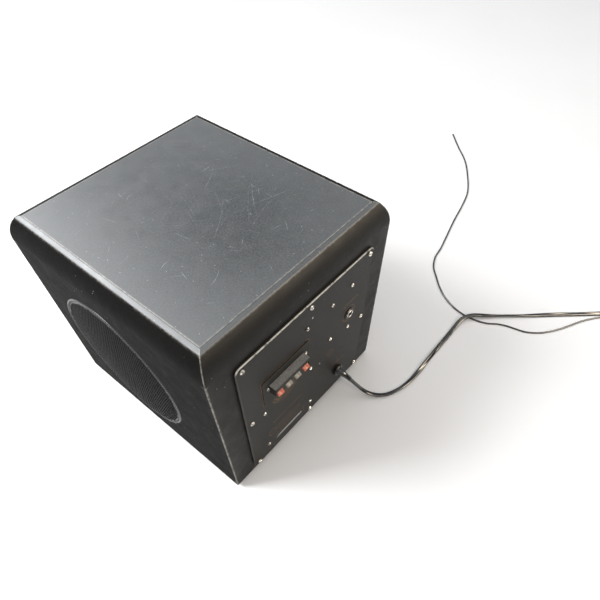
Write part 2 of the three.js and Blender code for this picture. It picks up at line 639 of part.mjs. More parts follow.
// ---- driver ----
const baffleBack = WIDTH / 2 - WALL;
const flangeFront = baffleBack - GAP;
const flangeRear = flangeFront - FRAME_THICK;
const basketEnd = flangeRear - BASKET_DEPTH;
const basketFoot = 34;
const spiderRim = basketFoot + 6;
const coilOuter = POLE_RADIUS + COIL_CLEARANCE + COIL_WALL;
const basketBlank = turnedX([
  [18, basketEnd], [basketFoot, basketEnd], [FRAME_RADIUS - 10, flangeRear], [FRAME_RADIUS, flangeRear],
  [FRAME_RADIUS, flangeFront], [72, flangeFront], [72, flangeRear],
  [basketFoot - 2, basketEnd + 2.5], [18, basketEnd + 2.5], [18, basketEnd],
], 40);
const basketWindows = [];
for (let i = 0; i < 4; i += 1) {
  const opening = box([basketEnd + 16, 20, -17], [flangeRear - 9, FRAME_RADIUS + 20, 17]);
  basketWindows.push(opening.rotateX((i * Math.PI) / 2 + Math.PI / 4).translate(0, DRIVER_Y, DRIVER_Z));
}

const topPlateBack = basketEnd - GAP - STEEL_THICK;
const magnetBack = topPlateBack - GAP - MAGNET_THICK;
const yokeBack = magnetBack - GAP - STEEL_THICK;
const topPlate = turnedX([
  [coilOuter + COIL_CLEARANCE, topPlateBack], [MAGNET_RADIUS - 3, topPlateBack],
  [MAGNET_RADIUS - 3, basketEnd + 0.5], [coilOuter + COIL_CLEARANCE, basketEnd + 0.5],
  [coilOuter + COIL_CLEARANCE, topPlateBack],
], 40);
addPiece('driver_basket', cut(join(basketBlank, [topPlate]), basketWindows), 'steel');
addPiece('driver_magnet', turnedX([
  [22, magnetBack], [MAGNET_RADIUS, magnetBack], [MAGNET_RADIUS, topPlateBack - GAP],
  [22, topPlateBack - GAP], [22, magnetBack],
], 40), 'ferrite');
addPiece('magnet_yoke', turnedX([
  [0, yokeBack], [MAGNET_RADIUS - 3, yokeBack], [MAGNET_RADIUS - 3, magnetBack - GAP],
  [POLE_RADIUS, magnetBack - GAP], [POLE_RADIUS, basketEnd - GAP], [0, basketEnd - GAP],
], 40), 'steel');

// The moving assembly, with room for its travel.
const coneEdge = flangeFront - 1.5;
const coneNeck = basketEnd + 17;
const coneWall = 1;
addPiece('voice_coil', turnedX([
  [coilOuter - COIL_WALL, topPlateBack - 7], [coilOuter, topPlateBack - 7], [coilOuter, coneNeck + 5],
  [coilOuter - COIL_WALL, coneNeck + 5], [coilOuter - COIL_WALL, topPlateBack - 7],
], 32), 'copper');
addPiece('driver_cone', turnedX([
  [coilOuter + GAP, coneNeck], [CONE_RADIUS, coneEdge], [CONE_RADIUS, coneEdge + coneWall],
  [CONE_RADIUS - 2, coneEdge + coneWall], [coilOuter + GAP, coneNeck + 2 * coneWall], [coilOuter + GAP, coneNeck],
], 48), 'paper');
const capRadius = 20;
const capRise = 9;
const capSeat = coneNeck + ((capRadius - coilOuter) / (CONE_RADIUS - coilOuter)) * (coneEdge - coneNeck) + 3;
const capOuter = [];
const capInner = [];
for (let i = 0; i <= 4; i += 1) {
  const share = i / 4;
  capInner.push([(capRadius - 1) * share, capSeat + capRise * (1 - share * share)]);
  capOuter.unshift([capRadius * share, capSeat + 1 + capRise * (1 - share * share)]);
}
addPiece('dust_cap', turnedX([...capInner, ...capOuter], 24), 'paper');

// The half-roll surround between the cone's edge and the basket's flange.
const rollMiddle = CONE_RADIUS + GAP + ROLL_RADIUS;
const rollOuter = [];
const rollInner = [];
for (let i = 0; i <= 6; i += 1) {
  const turn = (Math.PI * i) / 6;
  rollOuter.push([rollMiddle - ROLL_RADIUS * Math.cos(turn), coneEdge + ROLL_RADIUS * Math.sin(turn)]);
  rollInner.unshift([
    rollMiddle - (ROLL_RADIUS - 0.8) * Math.cos(turn), coneEdge + (ROLL_RADIUS - 0.8) * Math.sin(turn),
  ]);
}
addPiece('driver_surround', turnedX([...rollOuter, ...rollInner, rollOuter[0]].reverse(), 36), 'rubber');

// The spider: corrugated cloth from the voice coil to the basket.
const spiderAt = basketEnd + 9;
const spiderTop = [];
const spiderUnder = [];
const spiderSpan = basketFoot - 2.4 - (coilOuter + GAP);
for (let i = 0; i <= 6; i += 1) {
  const radius = coilOuter + GAP + (spiderSpan * i) / 6;
  const wave = i % 2 === 0 ? 0 : 1.2;
  spiderTop.push([radius, spiderAt + 0.7 + wave]);
  spiderUnder.unshift([radius, spiderAt + wave]);
}
addPiece('driver_spider', turnedX([...spiderTop, ...spiderUnder, spiderTop[0]].reverse(), 24), 'copper');

// ---- grille ----
// A shallow steel dome whose edge turns back into the rebate.
const grilleOuterR = GRILLE_RADIUS - 1.2;
const domeBase = WIDTH / 2 + 0.4;
const grilleFront = [];
const grilleRear = [];
for (let i = 0; i <= 4; i += 1) {
  const radius = ((grilleOuterR - GRILLE_RIM) * i) / 4;
  const rise = (GRILLE_DOME - 0.4) * (1 - (radius / (grilleOuterR - GRILLE_RIM)) ** 2);
  grilleFront.push([radius, domeBase + rise]);
  grilleRear.unshift([radius, domeBase + rise - GRILLE_SHEET]);
}
const rimOut = [];
const rimIn = [];
for (let i = 1; i <= 3; i += 1) {
  const turn = (Math.PI / 2) * (i / 3);
  const centre = grilleOuterR - GRILLE_RIM;
  rimOut.push([centre + GRILLE_RIM * Math.sin(turn), domeBase - GRILLE_RIM * (1 - Math.cos(turn))]);
  rimIn.unshift([
    centre + (GRILLE_RIM - GRILLE_SHEET) * Math.sin(turn),
    domeBase - GRILLE_SHEET - (GRILLE_RIM - GRILLE_SHEET) * (1 - Math.cos(turn)),
  ]);
}
addPiece('grille', turnedX([...grilleFront, ...rimOut, ...rimIn, ...grilleRear].reverse(), 48), 'grille');

// ---- bass port ----
addPiece('bass_port', turnedY([
  [PORT_RADIUS, PORT_LENGTH], [PORT_RADIUS, PORT_ROUND], [PORT_RADIUS + PORT_FLARE / 7, PORT_ROUND / 2],
  [PORT_RADIUS + PORT_FLARE * 0.42, PORT_ROUND / 7], [PORT_RADIUS + PORT_FLARE, -PORT_PROUD],
  [PORT_RADIUS + PORT_FLARE + PORT_LIP, -PORT_PROUD], [PORT_RADIUS + PORT_FLARE + PORT_LIP, -GAP],
  [PORT_RADIUS + PORT_WALL, -GAP], [PORT_RADIUS + PORT_WALL, PORT_LENGTH], [PORT_RADIUS, PORT_LENGTH],
], PORT_X, PORT_Z, 40).translate(0, frontFace, 0), 'black');

// ---- the driver's lead, from the amplifier to the basket ----
const driverLead = new THREE.CatmullRomCurve3([
  [-20, 118, 205], [-5, 95, 214], [20, 62, 212], [48, 38, 196], [62, 22, 178], [64, 15, 168],
].map((point) => new THREE.Vector3(...point)));
addPiece('driver_lead', tube(driverLead, 3, 8, 16), 'red');

// ---- cords ----
// A round tube along a curve.
function tube(curve, diameter, sides, steps) {
  const section = new THREE.Shape();
  for (let i = 0; i < sides; i += 1) {
    const turn = (2 * Math.PI * i) / sides;
    const place = [(diameter / 2) * Math.cos(turn), (diameter / 2) * Math.sin(turn)];
    if (i === 0) section.moveTo(...place);
    else section.lineTo(...place);
  }
  section.closePath();
  return new THREE.ExtrudeGeometry(section, { steps, bevelEnabled: false, extrudePath: curve });
}

function smooth(points) {
  return new THREE.CatmullRomCurve3(points.map((point) => new THREE.Vector3(...point)), false, 'centripetal');
}

// The part of a curve between two distances along it, as its own curve.
function stretch(curve, from, to, count) {
  const length = curve.getLength();
  const points = [];
  for (let i = 0; i <= count; i += 1) {
    points.push(curve.getPointAt((from + ((to - from) * i) / count) / length));
  }
  return new THREE.CatmullRomCurve3(points, false, 'centripetal');
}

const cordStart = [GLAND_X, PLATE_FACE + GLAND_PROUD - GLAND_MOUTH + 1.6, GLAND_Z + FOOT_HEIGHT];
const cordCurve = smooth([cordStart, ...CORD_ROUTE]);
const reliefCurve = stretch(cordCurve, 0, RELIEF_LENGTH, 8);
const reliefEnd = CORD_WIDTH / 2 + 0.4;
addPiece('cord_relief', sleeve(reliefCurve, 8, 16, (share) => (
  RELIEF_RADIUS + (reliefEnd - RELIEF_RADIUS) * share
)), 'black', standing);
const cordRun = stretch(cordCurve, RELIEF_LENGTH + GAP, cordCurve.getLength(), 80);
addPiece('mains_cord', tube(cordRun, CORD_WIDTH, CORD_SIDES, CORD_STEPS), 'black', standing);
addPiece('thin_lead', tube(smooth(LEAD_ROUTE), LEAD_DIAMETER, LEAD_SIDES, LEAD_STEPS), 'black', standing);

const coilBand = COIL_COLUMNS * CORD_WIDTH;
const coilIn = COIL_MEAN_RADIUS - coilBand / 2;
const coilOut = COIL_MEAN_RADIUS + coilBand / 2;
const coilTop = COIL_LAYERS * CORD_WIDTH + 4 * FLOOR_CLEARANCE;
const coilRing = new THREE.LatheGeometry([
  [coilIn, FLOOR_CLEARANCE], [coilOut, FLOOR_CLEARANCE], [coilOut, coilTop], [coilIn, coilTop],
  [coilIn, FLOOR_CLEARANCE],
].map(([radius, z]) => new THREE.Vector2(radius, z)), 32).rotateX(Math.PI / 2);
addPiece('cord_coil', coilRing, 'black', standing).position.set(...COIL_CENTRE, 0);

// A two-blade plug lying beside the coil: a tapered relief, a body and two flat blades.
const plugAxis = 8.5;
const plugRelief = turnedY([[0, 0], [4.2, 0], [6, 14], [0, 14]], 0, plugAxis, 12);
const plugBody = box([-11, 12, 0.4], [11, 44, 2 * plugAxis - 0.4]);
const blades = [-1, 1].map((side) => box(
  [side * 6.35 - 0.75, 43, plugAxis - 3.1], [side * 6.35 + 0.75, 61, plugAxis + 3.1],
));
const plug = addPiece('mains_plug', join(plugRelief, [plugBody, ...blades]), 'black', standing);
plug.position.set(COIL_CENTRE[0] - coilOut + CORD_WIDTH / 2, COIL_CENTRE[1] + PLUG_LEAD, 0);

export default subwoofer;
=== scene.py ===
# %% [markdown]
# # A powered subwoofer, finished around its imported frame
# The frame gives every solid part at its real size. This lesson adds what the frame leaves plain:
# the smooth vinyl wrap, the perforated grille, the free cords, the prints and every finish.
# Lengths are in metres, +Z is up, the amplifier plate faces +Y and the grille faces +X.

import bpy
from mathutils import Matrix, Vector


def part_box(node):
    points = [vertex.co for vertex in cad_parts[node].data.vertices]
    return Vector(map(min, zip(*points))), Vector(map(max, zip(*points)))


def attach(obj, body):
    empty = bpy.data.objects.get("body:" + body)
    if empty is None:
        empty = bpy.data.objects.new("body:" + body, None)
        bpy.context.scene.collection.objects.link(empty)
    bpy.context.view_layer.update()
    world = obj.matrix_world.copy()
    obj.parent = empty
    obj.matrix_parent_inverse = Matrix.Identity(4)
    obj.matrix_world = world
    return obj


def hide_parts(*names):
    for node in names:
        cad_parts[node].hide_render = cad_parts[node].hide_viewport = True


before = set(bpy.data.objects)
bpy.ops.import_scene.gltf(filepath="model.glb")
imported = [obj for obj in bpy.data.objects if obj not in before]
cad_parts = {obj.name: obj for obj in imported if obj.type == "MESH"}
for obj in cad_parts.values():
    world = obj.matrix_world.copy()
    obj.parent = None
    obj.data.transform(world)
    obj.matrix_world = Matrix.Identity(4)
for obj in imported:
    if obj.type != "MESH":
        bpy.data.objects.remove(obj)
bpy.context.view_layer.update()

import math

import bpy
import numpy as np
from mathutils import Matrix

# %% [markdown]
# ## Sizes
# The cabinet's own drawing counts millimetres from the cabinet's centre line, with z above its
# underside. `place` turns such points into the frame's metres. The feet lift the cabinet 6 mm,
# and the cords lie at the floor's level, so their z counts from the floor.

# %% Sizes of the cabinet, in millimetres
WIDTH, DEPTH, HEIGHT = 280.0, 300.0, 260.0
EDGE_RADIUS, EDGE_ANGLE, WALL, CROWN = 40.0, math.radians(43.0), 15.5, 1.4
FOOT = 6.0
PLATE_FACE, PLATE_MIDDLE = 153.0, 116.5
PORT_X, PORT_Z = -50.0, 62.0
FLOOR_LEVEL = 0.0
GRILLE_Y, GRILLE_Z, GRILLE_R = -20.5, 113.0, 96.5
SHIFT = np.array([-3.25, -7.25, 0.0])


def place(points, lift=FOOT):
    """Cabinet millimetres to frame metres: add the shift and the lift, divide by 1000."""
    points = np.asarray(points, float)
    return (points + SHIFT + np.array([0.0, 0.0, lift])) / 1000.0


def unit(ways):
    """The same directions with length 1, along the last axis."""
    return ways / np.maximum(np.linalg.norm(ways, axis=-1, keepdims=True), 1e-9)


def full_turn(count):
    """Evenly spaced angles round a full turn."""
    return np.linspace(0, 2 * np.pi, count, endpoint=False)


print("cabinet corner", place([WIDTH / 2, DEPTH / 2, HEIGHT]).round(4))

# %% [markdown]
# ## The camera
# The camera looks steeply down over the corner between the grille side and the amplifier plate.
# Its three turns give three axes: forward, right and up.

# %% Camera
yaw, pitch, roll = math.radians(49.0), math.radians(57.3), math.radians(-1.17)
forward = np.array([-math.sin(yaw) * math.cos(pitch), -math.cos(yaw) * math.cos(pitch), -math.sin(pitch)])
level = unit(np.cross(forward, [0.0, 0.0, 1.0]))
upward = np.cross(level, forward)
right = math.cos(roll) * level + math.sin(roll) * upward
up = -math.sin(roll) * level + math.cos(roll) * upward
camera = bpy.data.objects.new("camera", bpy.data.cameras.new("camera"))
bpy.context.scene.collection.objects.link(camera)
camera.data.sensor_width = 36.0
camera.data.lens = 27.5
camera.data.shift_x = 0.0033
camera.data.shift_y = 0.137
camera.data.clip_end = 50.0
turn = np.eye(4)
turn[:3] = np.column_stack([right, up, -forward, place(np.array([0.94, 1.33, 2.17]) * HEIGHT)])
camera.matrix_world = Matrix(turn.tolist())
bpy.context.scene.camera = camera
print("camera at", turn[:3, 3].round(3))

# %% [markdown]
# ## Surfaces from numbers
# Every new piece is one or more grids of points. A grid becomes quads between neighbouring
# points, and it can be closed along either direction, as a tube or a ring is.

# %% Grid and mesh helpers
def grid_faces(rows, cols, wrap_rows=False, wrap_cols=False):
    """Quads of a grid: corner (i, j), (i+1, j), (i+1, j+1), (i, j+1), wrapped where asked."""
    i = np.arange(rows if wrap_rows else rows - 1)
    j = np.arange(cols if wrap_cols else cols - 1)
    i, j = np.meshgrid(i, j, indexing="ij")
    i2, j2 = (i + 1) % rows, (j + 1) % cols
    return np.stack([i * cols + j, i2 * cols + j, i2 * cols + j2, i * cols + j2], -1).reshape(-1, 4)


def surface(grid, wrap_rows=False, wrap_cols=False, flip=False):
    """A grid of shape (rows, cols, 3) as (points, quads)."""
    rows, cols = grid.shape[:2]
    faces = grid_faces(rows, cols, wrap_rows, wrap_cols)
    return grid.reshape(-1, 3), faces[:, ::-1] if flip else faces


def piece(name, parts, material, body="cabinet", smooth=True, values=None, uv=None):
    """One object from several (points, quads) parts, at the origin, riding on a body.
    values names point attributes; uv is one (u, v) pair for each point."""
    points = np.concatenate([p for p, _ in parts])
    starts = np.cumsum([0] + [len(p) for p, _ in parts[:-1]])
    faces = np.concatenate([f + s for (_, f), s in zip(parts, starts)])
    mesh = bpy.data.meshes.new(name)
    mesh.from_pydata(points.tolist(), [], faces.tolist())
    for key, numbers in (values or {}).items():
        stored = mesh.attributes.new(key, "FLOAT", "POINT")
        stored.data.foreach_set("value", np.asarray(numbers, np.float32))
    if uv is not None:
        corner = np.zeros(len(mesh.loops), np.int32)
        mesh.loops.foreach_get("vertex_index", corner)
        mesh.uv_layers.new(name="UVMap").data.foreach_set("uv", np.asarray(uv, np.float32)[corner].ravel())
    mesh.polygons.foreach_set("use_smooth", np.full(len(mesh.polygons), smooth))
    mesh.update()
    item = bpy.data.objects.new(name, mesh)
    bpy.context.scene.collection.objects.link(item)
    item.data.materials.append(material)
    if body:
        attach(item, body)
    print(name, len(mesh.vertices), "points,", len(mesh.polygons), "faces")
    return item


def spin(profile, centre, axis, sides=64):
    """A profile of (radius, distance along the axis) turned about X, Y or Z through centre.
    Each ring is centre + radius * (cos a, sin a) across the axis + the distance along it."""
    profile = np.asarray(profile, float)
    angle = full_turn(sides)
    across, over = np.roll(np.eye(3), {"x": 1, "y": 2, "z": 0}[axis], axis=1)[:2]
    along = np.cross(across, over)
    ring = np.cos(angle)[:, None] * across + np.sin(angle)[:, None] * over
    grid = profile[:, 0, None, None] * ring[None] + profile[:, 1, None, None] * along + np.asarray(centre)
    return surface(place(grid), wrap_cols=True, flip=True)


print("helpers ready")

# %% [markdown]
# ## Finishes from nodes
# A small class builds each finish. Most have a base colour that drifts between two tones with a
# soft noise, a fine grain in the bump, and a roughness that varies. Extra layers are added where
# a surface needs them. Object coordinates are metres, so a scale of 1000 is a millimetre pattern.

# %% Finish helper
class Shading:
    """The node tree of a material or a world, with short ways to add and join its nodes."""

    def __init__(self, owner):
        owner.use_nodes = True
        self.owner = owner
        self.nodes, self.link = owner.node_tree.nodes, owner.node_tree.links.new
        self.shader = self.nodes.get("Principled BSDF") or self.nodes["Background"]
        self.coordinates = self.nodes.new("ShaderNodeTexCoord").outputs
        self.where = self.coordinates["Object"]

    def put(self, socket, value):
        """Join a socket to a socket, or set its value to a number or a colour."""
        if isinstance(value, tuple):
            socket.default_value = (*value, 1.0)
        elif isinstance(value, (int, float)):
            socket.default_value = value
        else:
            self.link(value, socket)

    def set(self, name, value):
        """Join or set one input of the shader."""
        self.put(self.shader.inputs[name], value)

    def node(self, kind, **settings):
        """A node of that kind with its properties set, and its inputs where the name is an input."""
        node = self.nodes.new(kind)
        for key, value in settings.items():
            if hasattr(node, key):
                setattr(node, key, value)
            else:
                node.inputs[key.replace("_", " ")].default_value = value
        return node

    def attribute(self, name):
        """The numbers that a piece stores at its points under that name."""
        return self.node("ShaderNodeAttribute", attribute_name=name).outputs["Fac"]

    def parts(self, vector):
        """The X, Y and Z outputs of a vector."""
        node = self.node("ShaderNodeSeparateXYZ")
        self.link(vector, node.inputs[0])
        return node.outputs

    def noise(self, scale, detail=3.0, rough=0.55):
        """A noise on object coordinates; scale is in patterns per metre."""
        node = self.node("ShaderNodeTexNoise", Scale=scale, Detail=detail, Roughness=rough)
        self.link(self.where, node.inputs["Vector"])
        return node.outputs["Fac"]

    def cells(self, scale, **settings):
        """The distance to the nearest point of a Voronoi pattern on object coordinates."""
        node = self.node("ShaderNodeTexVoronoi", Scale=scale, **settings)
        self.link(self.where, node.inputs["Vector"])
        return node.outputs["Distance"]

    def wave(self, value, turns):
        """The sine of a value times turns."""
        return self.calculate("SINE", self.calculate("MULTIPLY", value, turns), 0.0)

    def ramp(self, value, stops):
        """Colours at positions from 0 to 1, as a colour ramp on a value."""
        node = self.node("ShaderNodeValToRGB")
        for k, (position, colour) in enumerate(stops):
            stop = node.color_ramp.elements[k] if k < 2 else node.color_ramp.elements.new(position)
            stop.position, stop.color = position, (*colour, 1.0)
        self.link(value, node.inputs["Fac"])
        return node.outputs["Color"]

    def level(self, value, low, high, out_low=0.0, out_high=1.0):
        """A value mapped in a straight line from low..high to out_low..out_high, clamped."""
        node = self.node("ShaderNodeMapRange", From_Min=low, From_Max=high, To_Min=out_low, To_Max=out_high)
        self.link(value, node.inputs["Value"])
        return node.outputs["Result"]

    def mix(self, amount, under, over):
        """Mix two colours; under and over may be sockets or plain colours."""
        node = self.node("ShaderNodeMix", data_type="RGBA")
        for k, value in ((0, amount), (6, under), (7, over)):
            self.put(node.inputs[k], value)
        return node.outputs[2]

    def calculate(self, operation, first, second):
        """A math node on two sockets or numbers."""
        node = self.node("ShaderNodeMath", operation=operation)
        self.put(node.inputs[0], first)
        self.put(node.inputs[1], second)
        return node.outputs[0]

    def bump(self, height, distance, strength=1.0):
        """A bump of that height in metres on the shader's normal."""
        node = self.node("ShaderNodeBump", Strength=strength, Distance=distance)
        self.link(height, node.inputs["Height"])
        self.link(node.outputs["Normal"], self.shader.inputs["Normal"])


def new_finish(name):
    """An empty material of that name, ready for its nodes."""
    return Shading(bpy.data.materials.new(name))


def simple_finish(name, tones, rough, grain, height, metal=0.0, drift=25.0, shine=0.5):
    """tones: two colours, or two levels of grey, that the drift noise moves between; rough:
    (low, high); grain: fine noise scale per metre; height: its bump in metres."""
    paint = new_finish(name)
    dark, light = (tone if isinstance(tone, tuple) else (tone,) * 3 for tone in tones)
    slow, fine = paint.noise(drift), paint.noise(grain, 4.0, 0.6)
    paint.set("Base Color", paint.ramp(slow, [(0.35, dark), (0.65, light)]))
    paint.set("Roughness", paint.level(fine, 0.3, 0.7, *rough))
    paint.bump(fine, height)
    paint.set("Metallic", metal)
    paint.set("Specular IOR Level", shine)
    return paint.owner


print("finish helpers ready")

# %% [markdown]
# ## The cords
# The mains cord is flat twin flex: two round cores side by side in glossy black vinyl, with a
# groove between them. It leaves the gland, drops to the floor, crosses it and is wound into a
# coil out of view, with its plug on the end. A curve through chosen points gives the centre line.
# The section turns slowly about it, and stands on edge in the coil, as flat flex does.

# %% Smooth lines through points
def run_length(line):
    """The distance along a line of points, from its start to each point."""
    return np.concatenate([[0], np.cumsum(np.linalg.norm(np.diff(line, axis=0), axis=1))])


def ease_between(share):
    """A smooth step: 3 s^2 - 2 s^3 of the share s, held between 0 and 1."""
    share = np.clip(share, 0, 1)
    return share * share * (3 - 2 * share)


def smooth_line(points, step):
    """Centripetal Catmull-Rom through the points: between two points, blends of the four nearest
    by the square roots of their distances; then evenly spaced at about step."""
    points = np.asarray(points, float)
    ends = np.vstack([2 * points[0] - points[1], points, 2 * points[-1] - points[-2]])
    out = []
    for k in range(len(points) - 1):
        p = ends[k:k + 4]
        t = np.concatenate([[0], np.cumsum(np.sqrt(np.linalg.norm(np.diff(p, axis=0), axis=1)))])
        u = np.linspace(t[1], t[2], 24, endpoint=False)[:, None]
        a = [((t[m + 1] - u) * p[m] + (u - t[m]) * p[m + 1]) / (t[m + 1] - t[m]) for m in range(3)]
        b = [((t[m + 2] - u) * a[m] + (u - t[m]) * a[m + 1]) / (t[m + 2] - t[m]) for m in range(2)]
        out.append(((t[2] - u) * b[0] + (u - t[1]) * b[1]) / (t[2] - t[1]))
    line = np.vstack(out + [points[-1:]])
    run = run_length(line)
    even = np.linspace(0, run[-1], max(2, int(round(run[-1] / step)) + 1))
    return np.stack([np.interp(even, run, line[:, k]) for k in range(3)], 1)


def along_line(line, section, lean, scale=None):
    """A section of (wide, thin) offsets carried along a line. wide lies level across the line
    and thin stands above it; lean turns both about the line, and scale grows them."""
    ahead = unit(np.gradient(line, axis=0))
    side = unit(np.cross(ahead, [0.0, 0.0, 1.0]))
    over = np.cross(side, ahead)
    lean = np.broadcast_to(lean, len(line))[:, None]
    wide = np.cos(lean) * side + np.sin(lean) * over
    thin = -np.sin(lean) * side + np.cos(lean) * over
    scale = np.ones((len(line), 2)) if scale is None else scale
    return (line[:, None] + (section[None, :, 0] * scale[:, :1])[..., None] * wide[:, None]
            + (section[None, :, 1] * scale[:, 1:])[..., None] * thin[:, None])


def capped(grid):
    """A tube grid with a rounded-off end at each end: smaller copies of the end rings."""
    def shrunk(ring, sizes):
        return [ring.mean(0) + (ring - ring.mean(0)) * size for size in sizes]

    return np.concatenate([shrunk(grid[0], (0.02, 0.6)), grid, shrunk(grid[-1], (0.6, 0.02))])


print("line helpers ready")

# %% The mains cord's route, in millimetres above the floor
MAINS_ROUTE = [
    (-58.5, 156.6, 49.0), (-59.6, 164.5, 46.9), (-62, 171, 41.3), (-65.2, 177, 33.5), (-69.2, 183.4, 24.4),
    (-73.6, 191, 15), (-79.2, 200.4, 7.6), (-86.8, 210.6, 4.2), (-96.5, 218.8, 3.7), (-115.4, 227.2, 3.7),
    (-135.7, 231.4, 3.7), (-159.2, 232.6, 3.7), (-194.1, 232, 3.7), (-230.7, 231.8, 3.7), (-266, 231.6, 3.7),
    (-281, 231.8, 4.6), (-291.5, 234, 6.3), (-302, 240.2, 7.1), (-311, 248.4, 6.3), (-320, 258.4, 4.6),
    (-333.4, 273, 3.7), (-346, 288, 3.7), (-362.3, 306.8, 3.7), (-392, 340, 3.7), (-421, 373, 3.7),
    (-450, 406.5, 3.7), (-472, 432, 3.7),
]
COIL_APPROACH = (-487.0, 448.5, 3.7)
COIL_CENTRE = np.array([-458.0, 481.6])
COIL_RADII = (43.7, 36.5, 29.3)
COIL_LOW, COIL_HIGH = 3.7, 10.9
TURN_POINTS = 40


def coil_line():
    """The coil clockwise from where the cord meets it: three turns inwards on the floor, two
    outwards on top, and a short last arc. Radius and height ease over the last sixth of a turn."""
    table = np.array([(radius, COIL_LOW) for radius in COIL_RADII]
                     + [(radius, COIL_HIGH) for radius in COIL_RADII[::-1]])
    start = math.radians(223.0)
    end = 5.0 + (start - math.radians(180.0)) / (2 * math.pi)
    turns = np.arange(0.0, end + 1e-9, 1.0 / TURN_POINTS)
    whole = np.minimum(turns.astype(int), 5)
    ease = ease_between((turns - whole - 5.0 / 6.0) * 6.0)
    now, following = table[whole], table[np.minimum(whole + 1, 5)]
    value = now + (following - now) * ease[:, None]
    angle = start - 2 * math.pi * turns
    flat = COIL_CENTRE + value[:, :1] * np.stack([np.cos(angle), np.sin(angle)], 1)
    return np.column_stack([flat, value[:, 1]])


coil = coil_line()
STEP = 2.4
tail = coil[-1] + [(0.0, 9.0, -0.5), (0.0, 18.0, -1.5), (0.0, 26.0, -2.3), (0.0, 34.0, -2.4)]
mains_mm = smooth_line(np.vstack([MAINS_ROUTE, COIL_APPROACH, coil, tail]), STEP)
print("mains cord", round(run_length(mains_mm)[-1]), "mm")

# %% [markdown]
# Flat flex rests on the floor on its wide face, and where it leans it stands higher. So the height
# of the centre follows the lean: half the height of the leaning section.

# %% The mains cord
CORD_WIDE, CORD_THIN = 3.55, 1.85
run = run_length(mains_mm)
coil_start = run_length(smooth_line(MAINS_ROUTE, STEP))[-1]
to_edge = ease_between((run - coil_start + 30) / 60)
wander = 0.55 * np.sin(run / 46.0) + 0.35 * np.sin(run / 19.0 + 1.3)
lean = (1 - to_edge) * wander * np.clip(run / 60.0, 0, 1) + to_edge * (math.pi / 2)
stand = np.hypot(CORD_WIDE * np.sin(lean), CORD_THIN * np.cos(lean)) + 0.08
flat_part = (mains_mm[:, 2] < 3.75) & (run < coil_start + 30)
mains_mm[:, 2] = np.where(flat_part, np.minimum(mains_mm[:, 2], stand), mains_mm[:, 2])
ease_z = np.convolve(np.pad(mains_mm[:, 2], 4, mode="edge"), np.ones(9) / 9, "valid")
mains_mm[:, 2] = np.where((run > 70) & (run < coil_start + 60), np.maximum(ease_z, stand), mains_mm[:, 2])
around = full_turn(20)
waist = 1.0 - 0.36 * np.exp(-(np.cos(around) / 0.28) ** 2)
cord_section = np.column_stack([CORD_WIDE * np.cos(around), CORD_THIN * np.sin(around) * waist * 1.12])


def cord_finish(name, tint, gloss):
    """Black flexible vinyl: glossy under a thin clear layer, with smears and fine dust."""
    paint = new_finish(name)
    smear = paint.noise(90.0, 4.0)
    speck = paint.noise(2600.0, 2.0)
    dust = paint.level(speck, 0.68, 0.74, 0.0, 0.35)
    colour = paint.ramp(smear, [(0.3, tint), (0.7, tuple(1.5 * c for c in tint))])
    paint.set("Base Color", paint.mix(dust, colour, (0.16, 0.15, 0.14)))
    paint.set("Roughness", paint.level(smear, 0.3, 0.7, gloss, gloss + 0.2))
    paint.bump(paint.noise(420.0, 2.0), 0.00012)
    paint.set("Coat Weight", 0.6)
    paint.set("Coat Roughness", 0.08)
    return paint.owner


cord_vinyl = cord_finish("cord_vinyl", (0.0055, 0.0055, 0.0055), 0.1)
mains_grid = place(capped(along_line(mains_mm, cord_section, lean)), FLOOR_LEVEL)
mains = piece("mains_flex", [surface(mains_grid, wrap_cols=True, flip=True)], cord_vinyl)
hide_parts("mains_cord", "cord_relief", "cord_coil")

# %% [markdown]
# ## The plug
# A moulded two-blade plug: a soft body that swells from the cord to a flat face, with a shallow
# waist and two brass blades. It lies at the outside of the coil.

# %% The plug
def rounded_ring(half_wide, half_thick, count=32, power=3.2):
    """A superellipse: the corner-rounding power makes it boxier as it grows."""
    a = full_turn(count)
    shape = lambda c: np.sign(c) * np.abs(c) ** (2 / power)
    return np.column_stack([half_wide * shape(np.cos(a)), half_thick * shape(np.sin(a))])


plug_start = mains_mm[-1] - np.array([0, 6.0, 0])
stations = [(0, 3.9, 2.4), (2, 4.6, 3.2), (8, 5.2, 4.0), (14, 5.8, 4.9), (18, 8.6, 6.6), (24, 10.6, 7.9),
            (34, 11.0, 8.1), (37, 10.7, 7.8), (44, 10.9, 8.0), (48, 10.8, 8.0), (49.6, 10.0, 7.4)]
plug_rings = []
for along, half_wide, half_thick in stations:
    ring = rounded_ring(half_wide, half_thick)
    plug_rings.append(np.column_stack([ring[:, 0], np.full(len(ring), along), ring[:, 1]]) + plug_start)
plug_grid = np.array([plug_rings[0] * 0.02 + plug_start * 0.98] + plug_rings
                     + [plug_rings[-1] * 0.02 + (plug_start + [0, 49.6, 0]) * 0.98])
plug_vinyl = simple_finish("plug_vinyl", [0.012, 0.02], (0.35, 0.5), 900.0, 0.0001)
plug = piece("plug_body", [surface(place(plug_grid, FLOOR_LEVEL), wrap_cols=True)], plug_vinyl)
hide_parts("mains_plug")

# %% Two blades
def blade(x):
    """A flat blade: a thin box with a chamfered tip, given as rings along its length."""
    rings = []
    for y, half in ((49.0, 3.1), (62.0, 3.1), (64.0, 2.2)):
        ring = np.array([(-0.75, y, -half), (0.75, y, -half), (0.75, y, half), (-0.75, y, half)], float)
        rings.append(ring + plug_start + [x, 0, 0])
    ends = ((rings[0], 0.5), (rings[-1], 0.02))
    root, tip = (ring * size + ring.mean(0) * (1 - size) for ring, size in ends)
    return surface(place(np.array([root, *rings, tip]), FLOOR_LEVEL), wrap_cols=True)


